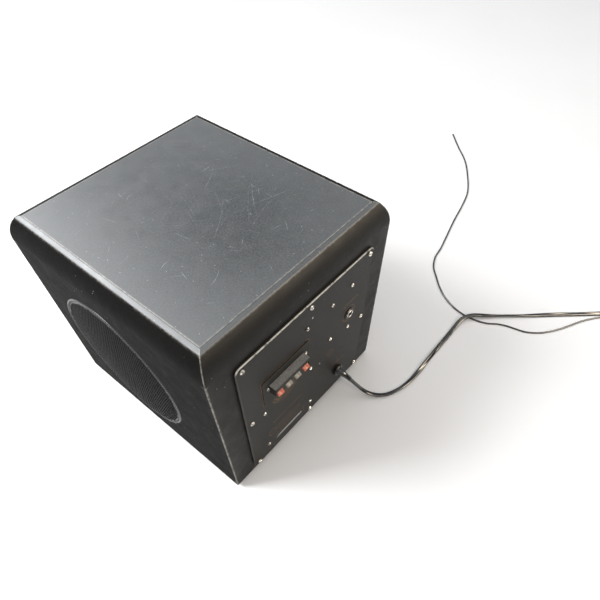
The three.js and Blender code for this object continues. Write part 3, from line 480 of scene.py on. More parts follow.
brass = simple_finish("blade_brass", [(0.62, 0.47, 0.22), (0.7, 0.55, 0.3)], (0.22, 0.4), 700.0, 0.00004,
                      metal=1.0)
blades = piece("plug_blades", [blade(-6.35), blade(6.35)], brass, smooth=False)

# %% [markdown]
# ## The cord's tie
# A narrow strap holds the coil: a flat band that goes round the bundle of turns.

# %% The tie
tie_angle = math.radians(35.0)
out = np.array([math.cos(tie_angle), math.sin(tie_angle), 0.0])
across = np.array([-out[1], out[0], 0.0])
middle = np.array([*(COIL_CENTRE + 36.5 * out[:2]), 7.4])
ring = rounded_ring(11.6, 7.9, 40, 4.0)
tie_line = middle + ring[:, :1] * out + ring[:, 1:] * np.array([0, 0, 1.0])
tie_line[:, 2] = np.maximum(tie_line[:, 2], 0.05)
tie_grid = np.stack([tie_line + across * w + (tie_line - middle) * g
                     for w, g in ((-4, -0.04), (-4, 0.0), (4, 0.0), (4, -0.04))], 0)
tie_finish = simple_finish("tie_strap", [(0.02, 0.02, 0.022), (0.035, 0.035, 0.037)], (0.7, 0.9), 2400.0,
                           0.0002)
tie = piece("cord_tie", [surface(place(tie_grid, FLOOR_LEVEL), wrap_rows=True, wrap_cols=True)], tie_finish)

# %% [markdown]
# ## The thin lead
# A thin black lead starts beside the mains cord, close to the coil, and runs over the floor to a
# cut end with no plug.

# %% The thin lead
LEAD_ROUTE = [
    (-457, 421.5), (-441, 405.5), (-427, 393.5), (-409, 381), (-390, 371), (-372, 361), (-355, 349.5),
    (-341, 336), (-331.5, 321.4), (-327.5, 307.5), (-324, 293), (-318, 279.5), (-310, 268), (-304.5, 254),
    (-302.6, 240), (-302.2, 226), (-305.5, 210), (-316, 187), (-331.5, 167), (-347, 152), (-366, 135),
    (-389, 124.5), (-416, 120), (-443, 113.5), (-500, 99.5), (-546, 90), (-591, 77.5), (-636, 53.5),
    (-685, 20), (-721, -15.5), (-759, -51),
]
lead_mm = smooth_line(np.column_stack([LEAD_ROUTE, np.full(len(LEAD_ROUTE), 1.35)]), STEP)
lead_ring = 1.3 * np.column_stack([np.cos(around), np.sin(around)])
lead_grid = place(capped(along_line(lead_mm, lead_ring, 0.0)), FLOOR_LEVEL)
lead_vinyl = cord_finish("lead_vinyl", (0.008, 0.008, 0.008), 0.25)
lead = piece("thin_flex", [surface(lead_grid, wrap_cols=True, flip=True)], lead_vinyl)
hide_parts("thin_lead")

# %% [markdown]
# ## Floor and light
# A white floor under soft light. One large soft lamp stands in front of the grille side, so the
# shadow falls behind the cabinet, and a small warm lamp lights the amplifier plate. Two more
# lamps show only in reflections: one gives the top its sheen, one lights the bend behind it.

# %% Floor
floor_paint = new_finish("floor_white")
floor_tones = floor_paint.ramp(floor_paint.noise(3.0), [(0.3, (0.93,) * 3), (0.7, (0.96,) * 3)])
floor_paint.set("Base Color", floor_tones)
floor_paint.set("Roughness", 0.85)
corners = np.array([[[-6.0, -6, 0], [-6, 6, 0]], [[6, -6, 0], [6, 6, 0]]])
floor = piece("floor", [surface(corners)], floor_paint.owner, body=None, smooth=False)

# %% Lamps and sky
def lamp(name, where, aim, power, size, colour):
    """A square area lamp at where that shines towards aim."""
    data = bpy.data.lights.new(name, "AREA")
    data.energy, data.size, data.color = power, size, colour
    item = bpy.data.objects.new(name, data)
    bpy.context.scene.collection.objects.link(item)
    ahead = unit(np.subtract(aim, where))
    side = unit(np.cross(ahead, [0, 0, 1.0]))
    stand = np.eye(4)
    stand[:3] = np.column_stack([side, np.cross(side, ahead), -ahead, where])
    item.matrix_world = Matrix(stand.tolist())
    return item


lamp("soft_key", (1.3, -1.25, 1.7), (0, 0, 0.1), 66, 0.9, (0.98, 0.99, 1.0))
lamp("strip_fill", (0.35, 1.55, 1.5), (0, 0, 0.1), 6, 0.4, (1.0, 0.84, 0.66))
for sheen in (lamp("top_sheen", (0.35, -1.7, 1.75), (0, 0, 0.1), 74, 1.0, (0.98, 0.99, 1.0)),
              lamp("back_glow", (-0.9, 1.3, 1.15), (0, 0.1, 0.2), 40, 0.8, (1.0, 0.85, 0.66))):
    sheen.visible_diffuse = False

# %% [markdown]
# The sky is brightest overhead and dim near the horizon, as in a room with a white ceiling, so
# upright faces stay dark. The camera itself sees a plain pale backdrop in every direction.

# %% Sky
sky = Shading(bpy.data.worlds.new("studio"))
bpy.context.scene.world = sky.owner
height_in_sky = sky.parts(sky.coordinates["Generated"])["Z"]
glow = sky.ramp(height_in_sky, [(0.0, (0.09, 0.09, 0.09)), (0.35, (0.22, 0.22, 0.225)),
                                (0.75, (1.0, 1.0, 1.0)), (1.0, (1.45, 1.46, 1.48))])
seen = sky.node("ShaderNodeLightPath").outputs["Is Camera Ray"]
sky.set("Color", sky.mix(seen, glow, (1.1, 1.1, 1.1)))
sky.set("Strength", 0.76)
bpy.context.scene.view_settings.view_transform = "Standard"
print("lamps ready")

# %% [markdown]
# ## The vinyl wrap
# The panels are fibreboard in a thin black vinyl film, folded over every edge. Each wall goes
# straight up, leans in along an arc, and ends in a narrow border that meets the flat top with a
# fine scored line. The wrap is one surface for each wall: the wall's profile run along its length,
# cut at 45 degrees at both ends so that neighbours meet. It lies a tenth of a millimetre proud.

# %% The wall's profile
LIFT = 0.12
ARC_TOP = HEIGHT - EDGE_RADIUS * math.sin(EDGE_ANGLE)
FOLD = 21


def wall_profile(half):
    """(distance from the centre, height): the arc is half - R(1 - cos a), top + R sin a,
    then the border rises gently to the inner face."""
    turn = np.linspace(0, EDGE_ANGLE, 22)
    arc = np.column_stack([half + LIFT - EDGE_RADIUS * (1 - np.cos(turn)),
                           ARC_TOP + EDGE_RADIUS * np.sin(turn)])
    inner = np.array([half - WALL, HEIGHT + CROWN + LIFT])
    fold = arc[-1] + (inner - arc[-1]) * np.array([[0.04], [0.3], [0.62], [0.9], [1.0]])
    fold[:, 1] += np.array([0.35, 0.3, 0.15, 0.05, 0.0])
    return np.vstack([arc, fold])


def wall_upper(half, half_long, count=90):
    """The bent upper part of a wall that faces +X: the profile at evenly spaced places between
    mitred ends, each end at half_long less the inset."""
    profile = wall_profile(half)
    share = np.linspace(-1, 1, count)
    end = half_long + profile[:, 0] - half
    out, along, height = np.broadcast_arrays(profile[:, :1], end[:, None] * share, profile[:, 1:])
    return np.stack([out, along, height], -1)


def wall_lower(half, half_long, hole, centre, count=160):
    """The flat lower part as rings between a hole and the panel's rectangle: the ray at each
    angle from the hole's centre meets the hole's edge and the rectangle's edge."""
    low, high = 0.0, ARC_TOP
    corners = [math.atan2(z - centre[1], y - centre[0]) for y in (-half_long, half_long) for z in (low, high)]
    angle = np.sort(np.concatenate([np.linspace(-np.pi, np.pi, count, endpoint=False), corners]))
    ray = np.column_stack([np.cos(angle), np.sin(angle)])
    safe = np.where(np.abs(ray) < 1e-9, 1e-9, ray)
    end = half_long + LIFT
    reach_y = np.where(ray[:, 0] > 0, end - centre[0], -end - centre[0]) / safe[:, 0]
    reach_z = np.where(ray[:, 1] > 0, high - centre[1], low - centre[1]) / safe[:, 1]
    far = np.minimum(np.abs(reach_y), np.abs(reach_z))[:, None] * ray
    near = hole(angle)[:, None] * ray
    share = np.linspace(0, 1, 9)[:, None, None]
    margins = np.array([1.6, 0.8, 0.3, 0.0])[:, None, None]
    rim_size = np.linalg.norm(far, axis=1)[None, :, None]
    inside = far * (1 - 2.6 / rim_size[0])
    flat = np.concatenate([near + (inside - near) * share, far[None] * (1 - margins / rim_size)])
    grid = np.empty(flat.shape[:2] + (3,))
    grid[..., 0] = half + LIFT
    grid[..., 1:] = flat + np.array(centre)
    return grid


def turned(grid, quarter):
    """A wall turned by quarter turns about the cabinet's upright axis."""
    c, s = [(1, 0), (0, 1), (-1, 0), (0, -1)][quarter]
    x, y, z = grid[..., 0], grid[..., 1], grid[..., 2]
    return np.stack([x * c - y * s, x * s + y * c, z], -1)


def box_hole(half_wide, half_tall):
    """The distance from a rectangle's middle to its edge at each angle."""
    return lambda a: np.minimum(half_wide / np.maximum(np.abs(np.cos(a)), 1e-9),
                                half_tall / np.maximum(np.abs(np.sin(a)), 1e-9))


print("wall helpers ready")

# %% [markdown]
# ## The vinyl's finish
# The film has a fine pebble grain and a satin sheen. The edges are rubbed: thin bright broken
# lines along every fold, and small pale specks of dust. A point attribute, from 0 to 1, marks how
# close a point is to a fold, because wear belongs to edges and not to a pattern in space. The top
# has a paler copy of the film, which is painted light, and the driver side a darker, duller copy,
# which is painted shade. The scratches are added after the walls, as hair-thin ribbons.

# %% Vinyl material
def vinyl_finish(name, tones, speck_share, gloss, shine, dust_and_sheen=None):
    """Grain in the bump, two drifting tones, rubbed folds and dust specks. The last argument, if given,
    is a pale colour mixed in more the farther a point lies from a spot a little off the top's middle,
    most along the -Y side and least by the +Y edge: dust, and painted sheen of the light on the film."""
    paint = new_finish(name)
    wear_and_highlight = paint.attribute("wear_and_highlight")
    drift = paint.noise(7.0, 5.0, 0.6)
    cloud = paint.noise(60.0, 5.0, 0.65)
    grain = paint.noise(1500.0, 3.0, 0.6)
    colour = paint.ramp(drift, [(0.3, tones[0]), (0.7, tones[1])])
    mottled = paint.calculate("MULTIPLY", paint.level(cloud, 0.45, 0.75), 0.35)
    colour = paint.mix(mottled, colour, tones[2])
    # Painted sheen, with dust: the film grows paler away from a spot off the top's middle, most along the -Y
    # side.
    if dust_and_sheen:
        shifted = paint.node("ShaderNodeMapping", Location=(0.012, -0.03, 0.0), Scale=(1.0, 0.85, 0.0))
        paint.link(paint.where, shifted.inputs["Vector"])
        from_middle = paint.node("ShaderNodeVectorMath", operation="LENGTH")
        paint.link(shifted.outputs["Vector"], from_middle.inputs[0])
        reach_wobble = paint.calculate("MULTIPLY", drift, 0.11)
        dust_and_sheen_reach = paint.calculate("ADD", from_middle.outputs["Value"], reach_wobble)
        colour = paint.mix(paint.level(dust_and_sheen_reach, 0.07, 0.24, 0.0, 0.9), colour, dust_and_sheen)
    pebble = paint.level(paint.noise(520.0, 5.0, 0.8), 0.42, 0.66, 0.0, 0.7)
    colour = paint.mix(pebble, colour, tones[3])
    dot = paint.level(paint.cells(150.0), 0.05, 0.085, 1.0, 0.0)
    chosen = paint.calculate("GREATER_THAN", paint.noise(38.0, 2.0), speck_share)
    dust = paint.calculate("MULTIPLY", dot, chosen)
    broken = paint.level(paint.noise(240.0, 4.0, 0.7), 0.34, 0.6)
    worn = paint.calculate("MULTIPLY", wear_and_highlight, broken)
    colour = paint.mix(paint.calculate("MULTIPLY", dust, 0.55), colour, (0.55, 0.57, 0.6))
    colour = paint.mix(paint.calculate("MULTIPLY", worn, 0.9), colour, (0.46, 0.44, 0.40))
    paint.set("Base Color", colour)
    paint.set("Roughness", paint.level(cloud, 0.3, 0.7, *gloss))
    paint.bump(grain, 0.00022, 0.8)
    paint.set("Specular IOR Level", shine)
    return paint.owner


# The top's tones are many times paler than the sides' tones of the same film: painted light on the face
# turned up to the bright overhead.
LIT_TONES = [(0.027, 0.031, 0.034), (0.043, 0.048, 0.052), (0.060, 0.066, 0.070), (0.122, 0.132, 0.138)]
SIDE_TONES = [(0.0030, 0.0028, 0.0027), (0.0055, 0.0048, 0.0043), (0.0095, 0.0078, 0.0062),
              (0.0125, 0.0102, 0.0082)]
SHADED_TONES = [(0.0030, 0.0029, 0.0028), (0.0050, 0.0047, 0.0045), (0.0080, 0.0072, 0.0065),
              (0.0105, 0.0096, 0.0088)]
vinyl_lit = vinyl_finish("vinyl_lit", LIT_TONES, 0.47, (0.36, 0.5), 0.6, (0.112, 0.120, 0.125))
vinyl_side = vinyl_finish("vinyl_side", SIDE_TONES, 0.58, (0.40, 0.56), 0.2)
vinyl_shaded = vinyl_finish("vinyl_shaded", SHADED_TONES, 0.58, (0.60, 0.75), 0.04)

# %% The four walls and the flat top
def rub_of_upper(grid):
    """Close to 1 at the mitred ends and at the fold between the arc and the border."""
    count_t, count_s = grid.shape[:2]
    share = np.abs(np.linspace(-1, 1, count_s))
    at_end = np.clip((share - 0.994) / 0.006, 0, 1)[None, :] * np.ones((count_t, 1))
    at_fold = np.exp(-((np.arange(count_t) - FOLD) / 0.7) ** 2)[:, None] * np.ones((1, count_s))
    return np.maximum(0.9 * at_end, 0.4 * at_fold)


def rub_of_lower(grid, half_long):
    """Close to 1 at the upright edges and along the foot of the wall."""
    to_end = half_long - np.abs(grid[..., 1])
    to_foot = grid[..., 2]
    return np.maximum(np.exp(-(to_end / 1.0) ** 2), 0.4 * np.exp(-(to_foot / 0.8) ** 2))


walls = [
    ("driver_side", 0, WIDTH / 2, DEPTH / 2, lambda a: np.full(len(a), GRILLE_R + 0.1), (GRILLE_Y, GRILLE_Z)),
    ("rear", 1, DEPTH / 2, WIDTH / 2, box_hole(94.0, 94.0), (0.0, PLATE_MIDDLE)),
    ("plain_side", 2, WIDTH / 2, DEPTH / 2, box_hole(0.01, 0.01), (0.0, 116.0)),
    ("front", 3, DEPTH / 2, WIDTH / 2, lambda a: np.full(len(a), 35.4), (PORT_X, PORT_Z)),
]
for title, quarter, half, half_long, hole, centre in walls:
    upper = wall_upper(half, half_long, 240)
    lower = wall_lower(half, half_long, hole, centre)
    rub_top = rub_of_upper(upper)
    wrap_parts = [surface(place(turned(upper[:FOLD + 1], quarter)), flip=True),
                  surface(place(turned(lower, quarter)), wrap_cols=True, flip=True)]
    wear_and_highlight = np.concatenate([rub_top[:FOLD + 1].ravel(), rub_of_lower(lower, half_long).ravel()])
    # Painted shade: the driver side's wrap takes the darker, duller copy of the film.
    wrap = piece("wrap_" + title, wrap_parts, vinyl_shaded if quarter == 0 else vinyl_side,
                 values={"wear_and_highlight": wear_and_highlight})
    # Painted reflection: the borders of the driver side and the rear, the two sides facing the camera, take
    # the paler top copy of the film, and the other two take the darker side copy.
    border = piece("border_" + title, [surface(place(turned(upper[FOLD:], quarter)), flip=True)],
                   vinyl_lit if quarter < 2 else vinyl_side, values={"wear_and_highlight": rub_top[FOLD:].ravel()})

# %% [markdown]
# The flat top is the same film in its paler copy, which is painted light. It is one grid with
# closer lines near its edge, where the scored line lies: a groove a quarter of a millimetre deep,
# just inside the top's own edge.

# %% The flat top
def edge_spaced(half, inner=30):
    """Positions from -half to half, close together within 8 mm of each end."""
    near = np.array([0.0, 0.3, 0.9, 1.6, 2.6, 4.0, 4.5, 4.8, 5.1, 5.6, 7.0, 9.0])
    return np.concatenate([-half + near, np.linspace(-half + 12, half - 12, inner), half - near[::-1]])


top_x, top_y = np.meshgrid(edge_spaced(WIDTH / 2 - WALL), edge_spaced(DEPTH / 2 - WALL), indexing="ij")
to_rim = np.minimum(WIDTH / 2 - WALL - np.abs(top_x), DEPTH / 2 - WALL - np.abs(top_y))
score = np.exp(-((to_rim - 0.3) / 0.35) ** 2)
top_grid = np.stack([top_x, top_y, HEIGHT + CROWN + LIFT - 0.25 * score], -1)
top_rub = np.clip(0.8 * np.exp(-((to_rim - 0.9) / 0.6) ** 2), 0, 1)
top_wrap = piece("wrap_top", [surface(place(top_grid))], vinyl_lit, values={"wear_and_highlight": top_rub.ravel()})

# %% [markdown]
# Long use leaves hair scratches on the top. Each is a ribbon a fifth of a millimetre wide, on a
# circular arc that bends at random, tapered at both ends. A fixed seed keeps them the same.

# %% Hair scratches
def ribbon(start, heading, size, bend, width, count=14):
    """An arc from start: the heading turns by bend along its length, and the half-width follows
    a half sine so that both ends are points."""
    share = np.linspace(0, 1, count)
    turning = heading + bend * share
    steps = np.stack([np.cos(turning), np.sin(turning)], 1) * size / (count - 1)
    line = np.asarray(start) + np.cumsum(steps, 0)
    side = np.stack([-np.sin(turning), np.cos(turning)], 1) * (width * np.sin(np.pi * share))[:, None]
    height = np.full((count, 2, 1), HEIGHT + CROWN + LIFT + 0.03)
    flat = np.stack([line - side, line + side], 1)
    return surface(place(np.concatenate([flat, height], 2)))


chance = np.random.default_rng(7)
scratches = []
while len(scratches) < 74:
    start = chance.uniform([-112, -122], [112, 122])
    long_one = len(scratches) < 14
    if long_one:
        start = chance.normal([-40, -10], [50, 55])
    size = chance.uniform(45, 110) if long_one else chance.uniform(4, 26)
    heading, bend = chance.uniform(0, 2 * np.pi), chance.normal(0, 0.5)
    half_width = chance.uniform(0.045, 0.10) if long_one else chance.uniform(0.07, 0.16)
    finish_at = start + size * np.array([math.cos(heading + bend / 2), math.sin(heading + bend / 2)])
    if np.all(np.abs(start) < (116, 126)) and np.all(np.abs(finish_at) < (116, 126)):
        scratches.append(ribbon(start, heading, size, bend, half_width))
scratch_finish = simple_finish("scratched_film", [(0.12, 0.135, 0.15), (0.42, 0.45, 0.48)], (0.4, 0.6), 300.0,
                               0.00002, drift=140.0)
hairs = piece("hair_scratches", scratches, scratch_finish)

# %% [markdown]
# ## The grille
# A round sheet of perforated steel, pressed into a shallow dome and rolled over at its rim. Every
# hole is real, because the light and the dark driver behind show through them. The sheet is a
# honeycomb of cells, each a hexagon with a hexagonal hole: six quads on its face, six in its edge.

# %% The perforated sheet
PITCH = 2.9
HOLE = 0.62
DOME = 6.2
SHEET_R = GRILLE_R - 5.2
GRILLE_BASE = WIDTH / 2 - 0.1


def dome(across, over):
    """The sheet's height: a shallow cap that falls with the square of the radius."""
    return GRILLE_BASE + DOME * (1 - (across ** 2 + over ** 2) / GRILLE_R ** 2)


step = np.arange(-46, 47)
u, v = np.meshgrid(step, step, indexing="ij")
cell = np.column_stack([(u + 0.5 * (v % 2)).ravel() * PITCH, (v * math.sqrt(3) / 2).ravel() * PITCH])
cell = cell[np.hypot(cell[:, 0], cell[:, 1]) < SHEET_R - PITCH * 0.5]
spoke = np.arange(6) * np.pi / 3 + np.pi / 6
hexagon = np.column_stack([np.cos(spoke), np.sin(spoke)]) * PITCH / math.sqrt(3)
edge = cell[:, None] + hexagon[None]
hole_edge = cell[:, None] + hexagon[None] * HOLE
flat = np.concatenate([edge, hole_edge, hole_edge], 1)
height = dome(flat[..., 0], flat[..., 1])
height[:, 12:] -= 0.9
points = np.stack([height, flat[..., 0] + GRILLE_Y, flat[..., 1] + GRILLE_Z], -1)
one = np.concatenate([[(k, (k + 1) % 6, 6 + (k + 1) % 6, 6 + k) for k in range(6)],
                      [(6 + k, 6 + (k + 1) % 6, 12 + (k + 1) % 6, 12 + k) for k in range(6)]])
faces = (one[None] + (np.arange(len(cell)) * 18)[:, None, None]).reshape(-1, 4)
print(len(cell), "holes")


def powder_finish(name, base, worn, share):
    """Satin black powder coat on steel: a fine orange peel, with small bright chips."""
    paint = new_finish(name)
    peel = paint.noise(900.0, 3.0)
    chip = paint.calculate("GREATER_THAN", paint.noise(260.0, 5.0, 0.75), share)
    tones = paint.ramp(paint.noise(30.0), [(0.3, base), (0.7, tuple(1.5 * c for c in base))])
    colour = paint.mix(chip, tones, worn)
    paint.set("Base Color", colour)
    paint.set("Roughness", paint.level(peel, 0.3, 0.7, 0.5, 0.65))
    paint.bump(peel, 0.0001)
    paint.set("Specular IOR Level", 0.05)
    return paint.owner


grille_coat = powder_finish("grille_coat", (0.0045, 0.0045, 0.0045), (0.13, 0.13, 0.13), 0.72)
mesh_sheet = piece("grille_mesh", [(place(points.reshape(-1, 3)), faces)], grille_coat, smooth=False)
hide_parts("grille")

# %% [markdown]
# The rim is the same sheet rolled back on itself, so cut holes show along it as a row of small
# notches. The notches are painted near-black with a bump, as painted shade inside the holes. A
# plain flat ring joins the rolled rim to the perforated part.

# %% The rolled rim
rim_turn = np.linspace(-0.9, math.pi, 14)
rim_profile = [(radius, dome(radius, 0.0) - 0.25) for radius in (SHEET_R - 3.4, SHEET_R - 0.4)]
rim_profile += [(GRILLE_R - 3.1 - 1.9 * math.cos(t), GRILLE_BASE - 0.9 + 1.9 * math.sin(t)) for t in rim_turn]
rim_profile += [(GRILLE_R - 1.2, GRILLE_BASE - 2.6), (SHEET_R - 3.4, GRILLE_BASE - 2.6)]
RIM_SIDES = 288
rim_parts = spin(rim_profile, (0, GRILLE_Y, GRILLE_Z), "x", RIM_SIDES)
rim_share = np.meshgrid(np.linspace(0, 1, len(rim_profile)), np.linspace(0, 1, RIM_SIDES), indexing="ij")
rim_uv = np.stack(rim_share, -1).reshape(-1, 2)
rim_coat = new_finish("rim_coat")
across_rim, round_rim = list(rim_coat.parts(rim_coat.coordinates["UV"]))[:2]
tooth = rim_coat.wave(round_rim, 2 * math.pi * 186)
off_crest = rim_coat.calculate("ABSOLUTE", rim_coat.calculate("SUBTRACT", across_rim, 0.42), 0.0)
band = rim_coat.level(off_crest, 0.0, 0.30, 0.75, -0.6)
notch_shade = rim_coat.level(rim_coat.calculate("ADD", tooth, band), 0.25, 0.55)
# Painted shade: the notches along the crest of the rim are near-black, for the shade inside the holes.
rim_coat.set("Base Color", rim_coat.mix(notch_shade, (0.026, 0.026, 0.026), (0.002, 0.002, 0.002)))
rim_coat.set("Roughness", rim_coat.level(notch_shade, 0.0, 1.0, 0.3, 0.9))
rim_coat.bump(rim_coat.calculate("SUBTRACT", 1.0, notch_shade), 0.0005)
rim = piece("grille_rim", [rim_parts], rim_coat.owner, uv=rim_uv)

# %% The rebate that the grille sits in
face = WIDTH / 2
rebate_profile = [(80.2, face - WALL), (80.3, face - 2.85), (GRILLE_R, face - 2.85), (GRILLE_R, face - 0.2),
                  (GRILLE_R + 0.1, face + LIFT)]
rebate_finish = simple_finish("rebate_paint", [0.010, 0.016], (0.7, 0.9), 900.0, 0.0003)
rebate = piece("grille_rebate", [spin(rebate_profile, (0, GRILLE_Y, GRILLE_Z), "x", 160)], rebate_finish)

# %% [markdown]
# ## The amplifier plate
# The plate is sheet steel in a brown-black textured paint. The frame's plate has the right shape, so
# it only gets the finish, and a thin rounded bead is added round its rim to catch the light. The bead's
# upper rim is painted a broken pale colour: a painted highlight, where the light falls on the top edge.

# %% Plate paint
def plate_finish(name, highlit_rim):
    """Textured paint: brown-black tones, pits in the bump, and, when the second argument is true, a broken
    pale painted highlight where the point attribute is high.
    """
    paint = new_finish(name)
    slow = paint.noise(16.0, 5.0, 0.65)
    fine = paint.noise(1100.0, 3.0)
    colour = paint.ramp(slow, [(0.3, (0.0045, 0.0038, 0.0027)), (0.72, (0.0105, 0.0086, 0.0058))])
    fleck = paint.level(paint.noise(420.0, 4.0, 0.7), 0.66, 0.74, 0.0, 0.45)
    colour = paint.mix(fleck, colour, (0.075, 0.055, 0.035))
    # Painted highlight: a broken pale colour where the point attribute is high, on the top of the bead.
    if highlit_rim:
        broken = paint.level(paint.noise(190.0, 4.0, 0.75), 0.34, 0.5)
        wear_and_highlight = paint.attribute("wear_and_highlight")
        colour = paint.mix(paint.calculate("MULTIPLY", broken, wear_and_highlight), colour, (0.78, 0.75, 0.66))
    paint.set("Base Color", colour)
    paint.set("Roughness", paint.level(fine, 0.3, 0.7, 0.38, 0.55))
    paint.bump(fine, 0.0002, 0.8)
    paint.set("Specular IOR Level", 0.3)
    return paint.owner


def dress(material, *names):
    """Give CAD nodes a finish, and keep their meshes as they are."""
    for name in names:
        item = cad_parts[name]
        item.data.materials.clear()
        item.data.materials.append(material)
    print(material.name, "on", len(names), "nodes")


plate_paint = plate_finish("plate_paint", False)
dress(plate_paint, "rear_plate")


def rounded_rectangle(wide, tall, corner, steps=10):
    """Points round a rectangle with quarter-circle corners, counter-clockwise."""
    quarter = np.linspace(0, np.pi / 2, steps)
    centres = [(wide / 2 - corner, tall / 2 - corner), (corner - wide / 2, tall / 2 - corner),
               (corner - wide / 2, corner - tall / 2), (wide / 2 - corner, corner - tall / 2)]
    bends = []
    for k, centre in enumerate(centres):
        turning = quarter + k * np.pi / 2
        bends.append(np.asarray(centre) + corner * np.column_stack([np.cos(turning), np.sin(turning)]))
    return np.vstack(bends)


def bead_round(outline, radius, y, sides=8):
    """A round bead along a closed outline in x and z: offsets along the outline's normal and
    along y on a small circle."""
    ahead = unit(np.roll(outline, -1, 0) - np.roll(outline, 1, 0))
    out_way = np.column_stack([ahead[:, 1], -ahead[:, 0]])
    turn_by = full_turn(sides)
    flat = outline[:, None] + radius * np.cos(turn_by)[None, :, None] * out_way[:, None]
    depth = np.broadcast_to(y + radius * np.sin(turn_by), flat.shape[:2])
    grid = np.stack([flat[..., 0], depth, flat[..., 1]], -1)
    return surface(place(grid), wrap_rows=True, wrap_cols=True, flip=True)


plate_outline = rounded_rectangle(217.4, 214.4, 6.8) + [0.0, PLATE_MIDDLE]
rim_highlight_paint = plate_finish("rim_highlight_paint", True)
bead_parts = bead_round(plate_outline, 0.85, PLATE_FACE - 0.55)
bead_height = np.repeat(plate_outline[:, 1], 8)
# Painted highlight: the pale colour is kept to the bead's top, above 219 mm, where the light falls, with a
# faint trace all round.
bead_top_highlight = np.clip((bead_height - 219.0) / 3.0, 0.0, 1.0) + 0.05
plate_bead = piece("plate_rim", [bead_parts], rim_highlight_paint, values={"wear_and_highlight": np.clip(bead_top_highlight, 0, 1)})

# %% [markdown]
# ## Printed marks
# The plate is printed in faint brown: a frame round the terminals, a few rules, arcs and rows of
# bars, with one row in white. The marks have no lettering, and each is a flat strip of ink.

# %% Ink strips
INK = PLATE_FACE + 0.06


def strip(points, width):
    """A line of (x, z) points as a flat strip of that width on the plate."""
    points = np.asarray(points, float)
    ahead = unit(np.gradient(points, axis=0))
    side = np.column_stack([-ahead[:, 1], ahead[:, 0]]) * width / 2
    flat = np.stack([points - side, points + side], 1)
    grid = np.stack([flat[..., 0], np.full(flat.shape[:2], INK), flat[..., 1]], -1)
    return surface(place(grid), flip=True)


def arc_points(centre, radius, start, end, count=24):
    """Points on a circle's arc in x and z, from start to end in degrees."""
    turning = np.radians(np.linspace(start, end, count))
    return np.column_stack([centre[0] + radius * np.cos(turning), centre[1] + radius * np.sin(turning)])


def dashes(x0, x1, z, size, gap, seed, tall=0.75):
    """A row of short bars of uneven length between x0 and x1, laid end to end."""
    pick = np.random.default_rng(seed)
    bars, x = [], x0
    while x < x1 - size:
        wide = pick.uniform(0.5, 1.5) * size
        bars.append(strip([(x, z), (min(x + wide, x1), z)], tall))
        x += wide + gap
    return bars


def ink_finish(name, colour, cover):
    """Ink worn thin in places: the noise mixes it with the paint below; cover is the share worn."""
    paint = new_finish(name)
    thin = paint.level(paint.noise(330.0, 4.0, 0.7), 0.32, 0.62, 1.0 - cover, 1.0)
    paint.set("Base Color", paint.mix(thin, (0.012, 0.010, 0.008), colour))
    paint.set("Roughness", 0.6)
    paint.set("Specular IOR Level", 0.3)
    return paint.owner


brown_ink = ink_finish("brown_ink", (0.42, 0.23, 0.10), 0.75)
white_ink = ink_finish("white_ink", (0.95, 0.94, 0.9), 0.25)
LINES = [
    (0.4, (80.6, 171), (3.4, 171)), (0.4, (3.4, 171), (3.4, 146)), (0.4, (80.6, 171), (80.6, 126)),
    (0.4, (12, 36), (74, 36)), (0.4, (12, 36), (12, 22)), (0.4, (-58, 70), (-58, 58)),
    (0.4, (-72, 62), (-44, 62)),
]
ARCS = [
    (0.5, (45, 128), 20, 200, 340), (0.5, (45, 128), 24, 205, 335), (0.5, (45, 128), 15, 190, 350),
    (0.45, (72, 52), 6, 0, 360), (0.4, (-40, 100), 5, 0, 360), (0.45, (-72.5, 146), 11.5, 0, 360),
]
ROWS = [
    (24, 66, 118, 2.4, 1.0), (26, 64, 112, 2.4, 1.0), (18, 70, 72, 2.6, 1.1), (22, 66, 55, 2.2, 0.9),
    (20, 68, 49, 2.2, 0.9), (24, 62, 43, 2.2, 0.9), (-88, -60, 165, 2.4, 1.0),
]
faint = [strip(ends, width) for width, *ends in LINES]
faint += [strip(arc_points(*arc), width) for width, *arc in ARCS]
for seed, row in enumerate(ROWS, 1):
    faint += dashes(*row, seed)
brown_marks = piece("brown_marks", faint, brown_ink, smooth=False)
white_parts = dashes(17.5, 66.5, 28.9, 3.2, 0.8, 8, 2.0) + [strip([(16.3, 26.7), (66.6, 26.7)], 0.6)]
for dot in ((-18.6, 99.5), (-2.8, 199.4)):
    white_parts.append(strip(arc_points(dot, 0.6, 0, 360, 10), 0.8))
white_marks = piece("white_marks", white_parts, white_ink, smooth=False)

# %% [markdown]
# ## Screws
# All the screws have pan heads with a cross recess. The black plating has rubbed bright in
# patches. The head is a surface in polar form: a rounded profile with a cross-shaped dent.

# %% Screw heads
def screw_head(x, z, radius, tall, base, twist):
    """Height over (distance r, angle a): a pan dome, less a cross dent with sloping walls."""
    reach = radius * np.concatenate([np.linspace(0.0, 0.62, 12)[1:], [0.7, 0.8, 0.9, 0.97, 1.0, 1.0]])
    angle = full_turn(48)
    r, a = np.meshgrid(reach, angle, indexing="ij")
    height = tall * (1 - 0.18 * (r / radius) ** 2 - 0.5 * np.clip((r / radius - 0.72) / 0.28, 0, 1) ** 3)
    u, v = np.abs(r * np.cos(a)), np.abs(r * np.sin(a))
    arm = np.maximum(np.clip((0.17 * radius - np.minimum(u, v)) / (0.07 * radius), 0, 1)
                     * np.clip((0.62 * radius - np.maximum(u, v)) / (0.12 * radius), 0, 1), 0)
    height -= 0.62 * tall * arm
    height[-1] = 0.0
    grid = np.stack([x + r * np.cos(a + twist), base + height, z + r * np.sin(a + twist)], -1)
    middle = np.broadcast_to([x, base + 0.38 * tall, z], (1, 48, 3)) + 0.02 * (grid[:1] - [x, base, z])
    return surface(place(np.concatenate([middle, grid])), wrap_cols=True, flip=True)


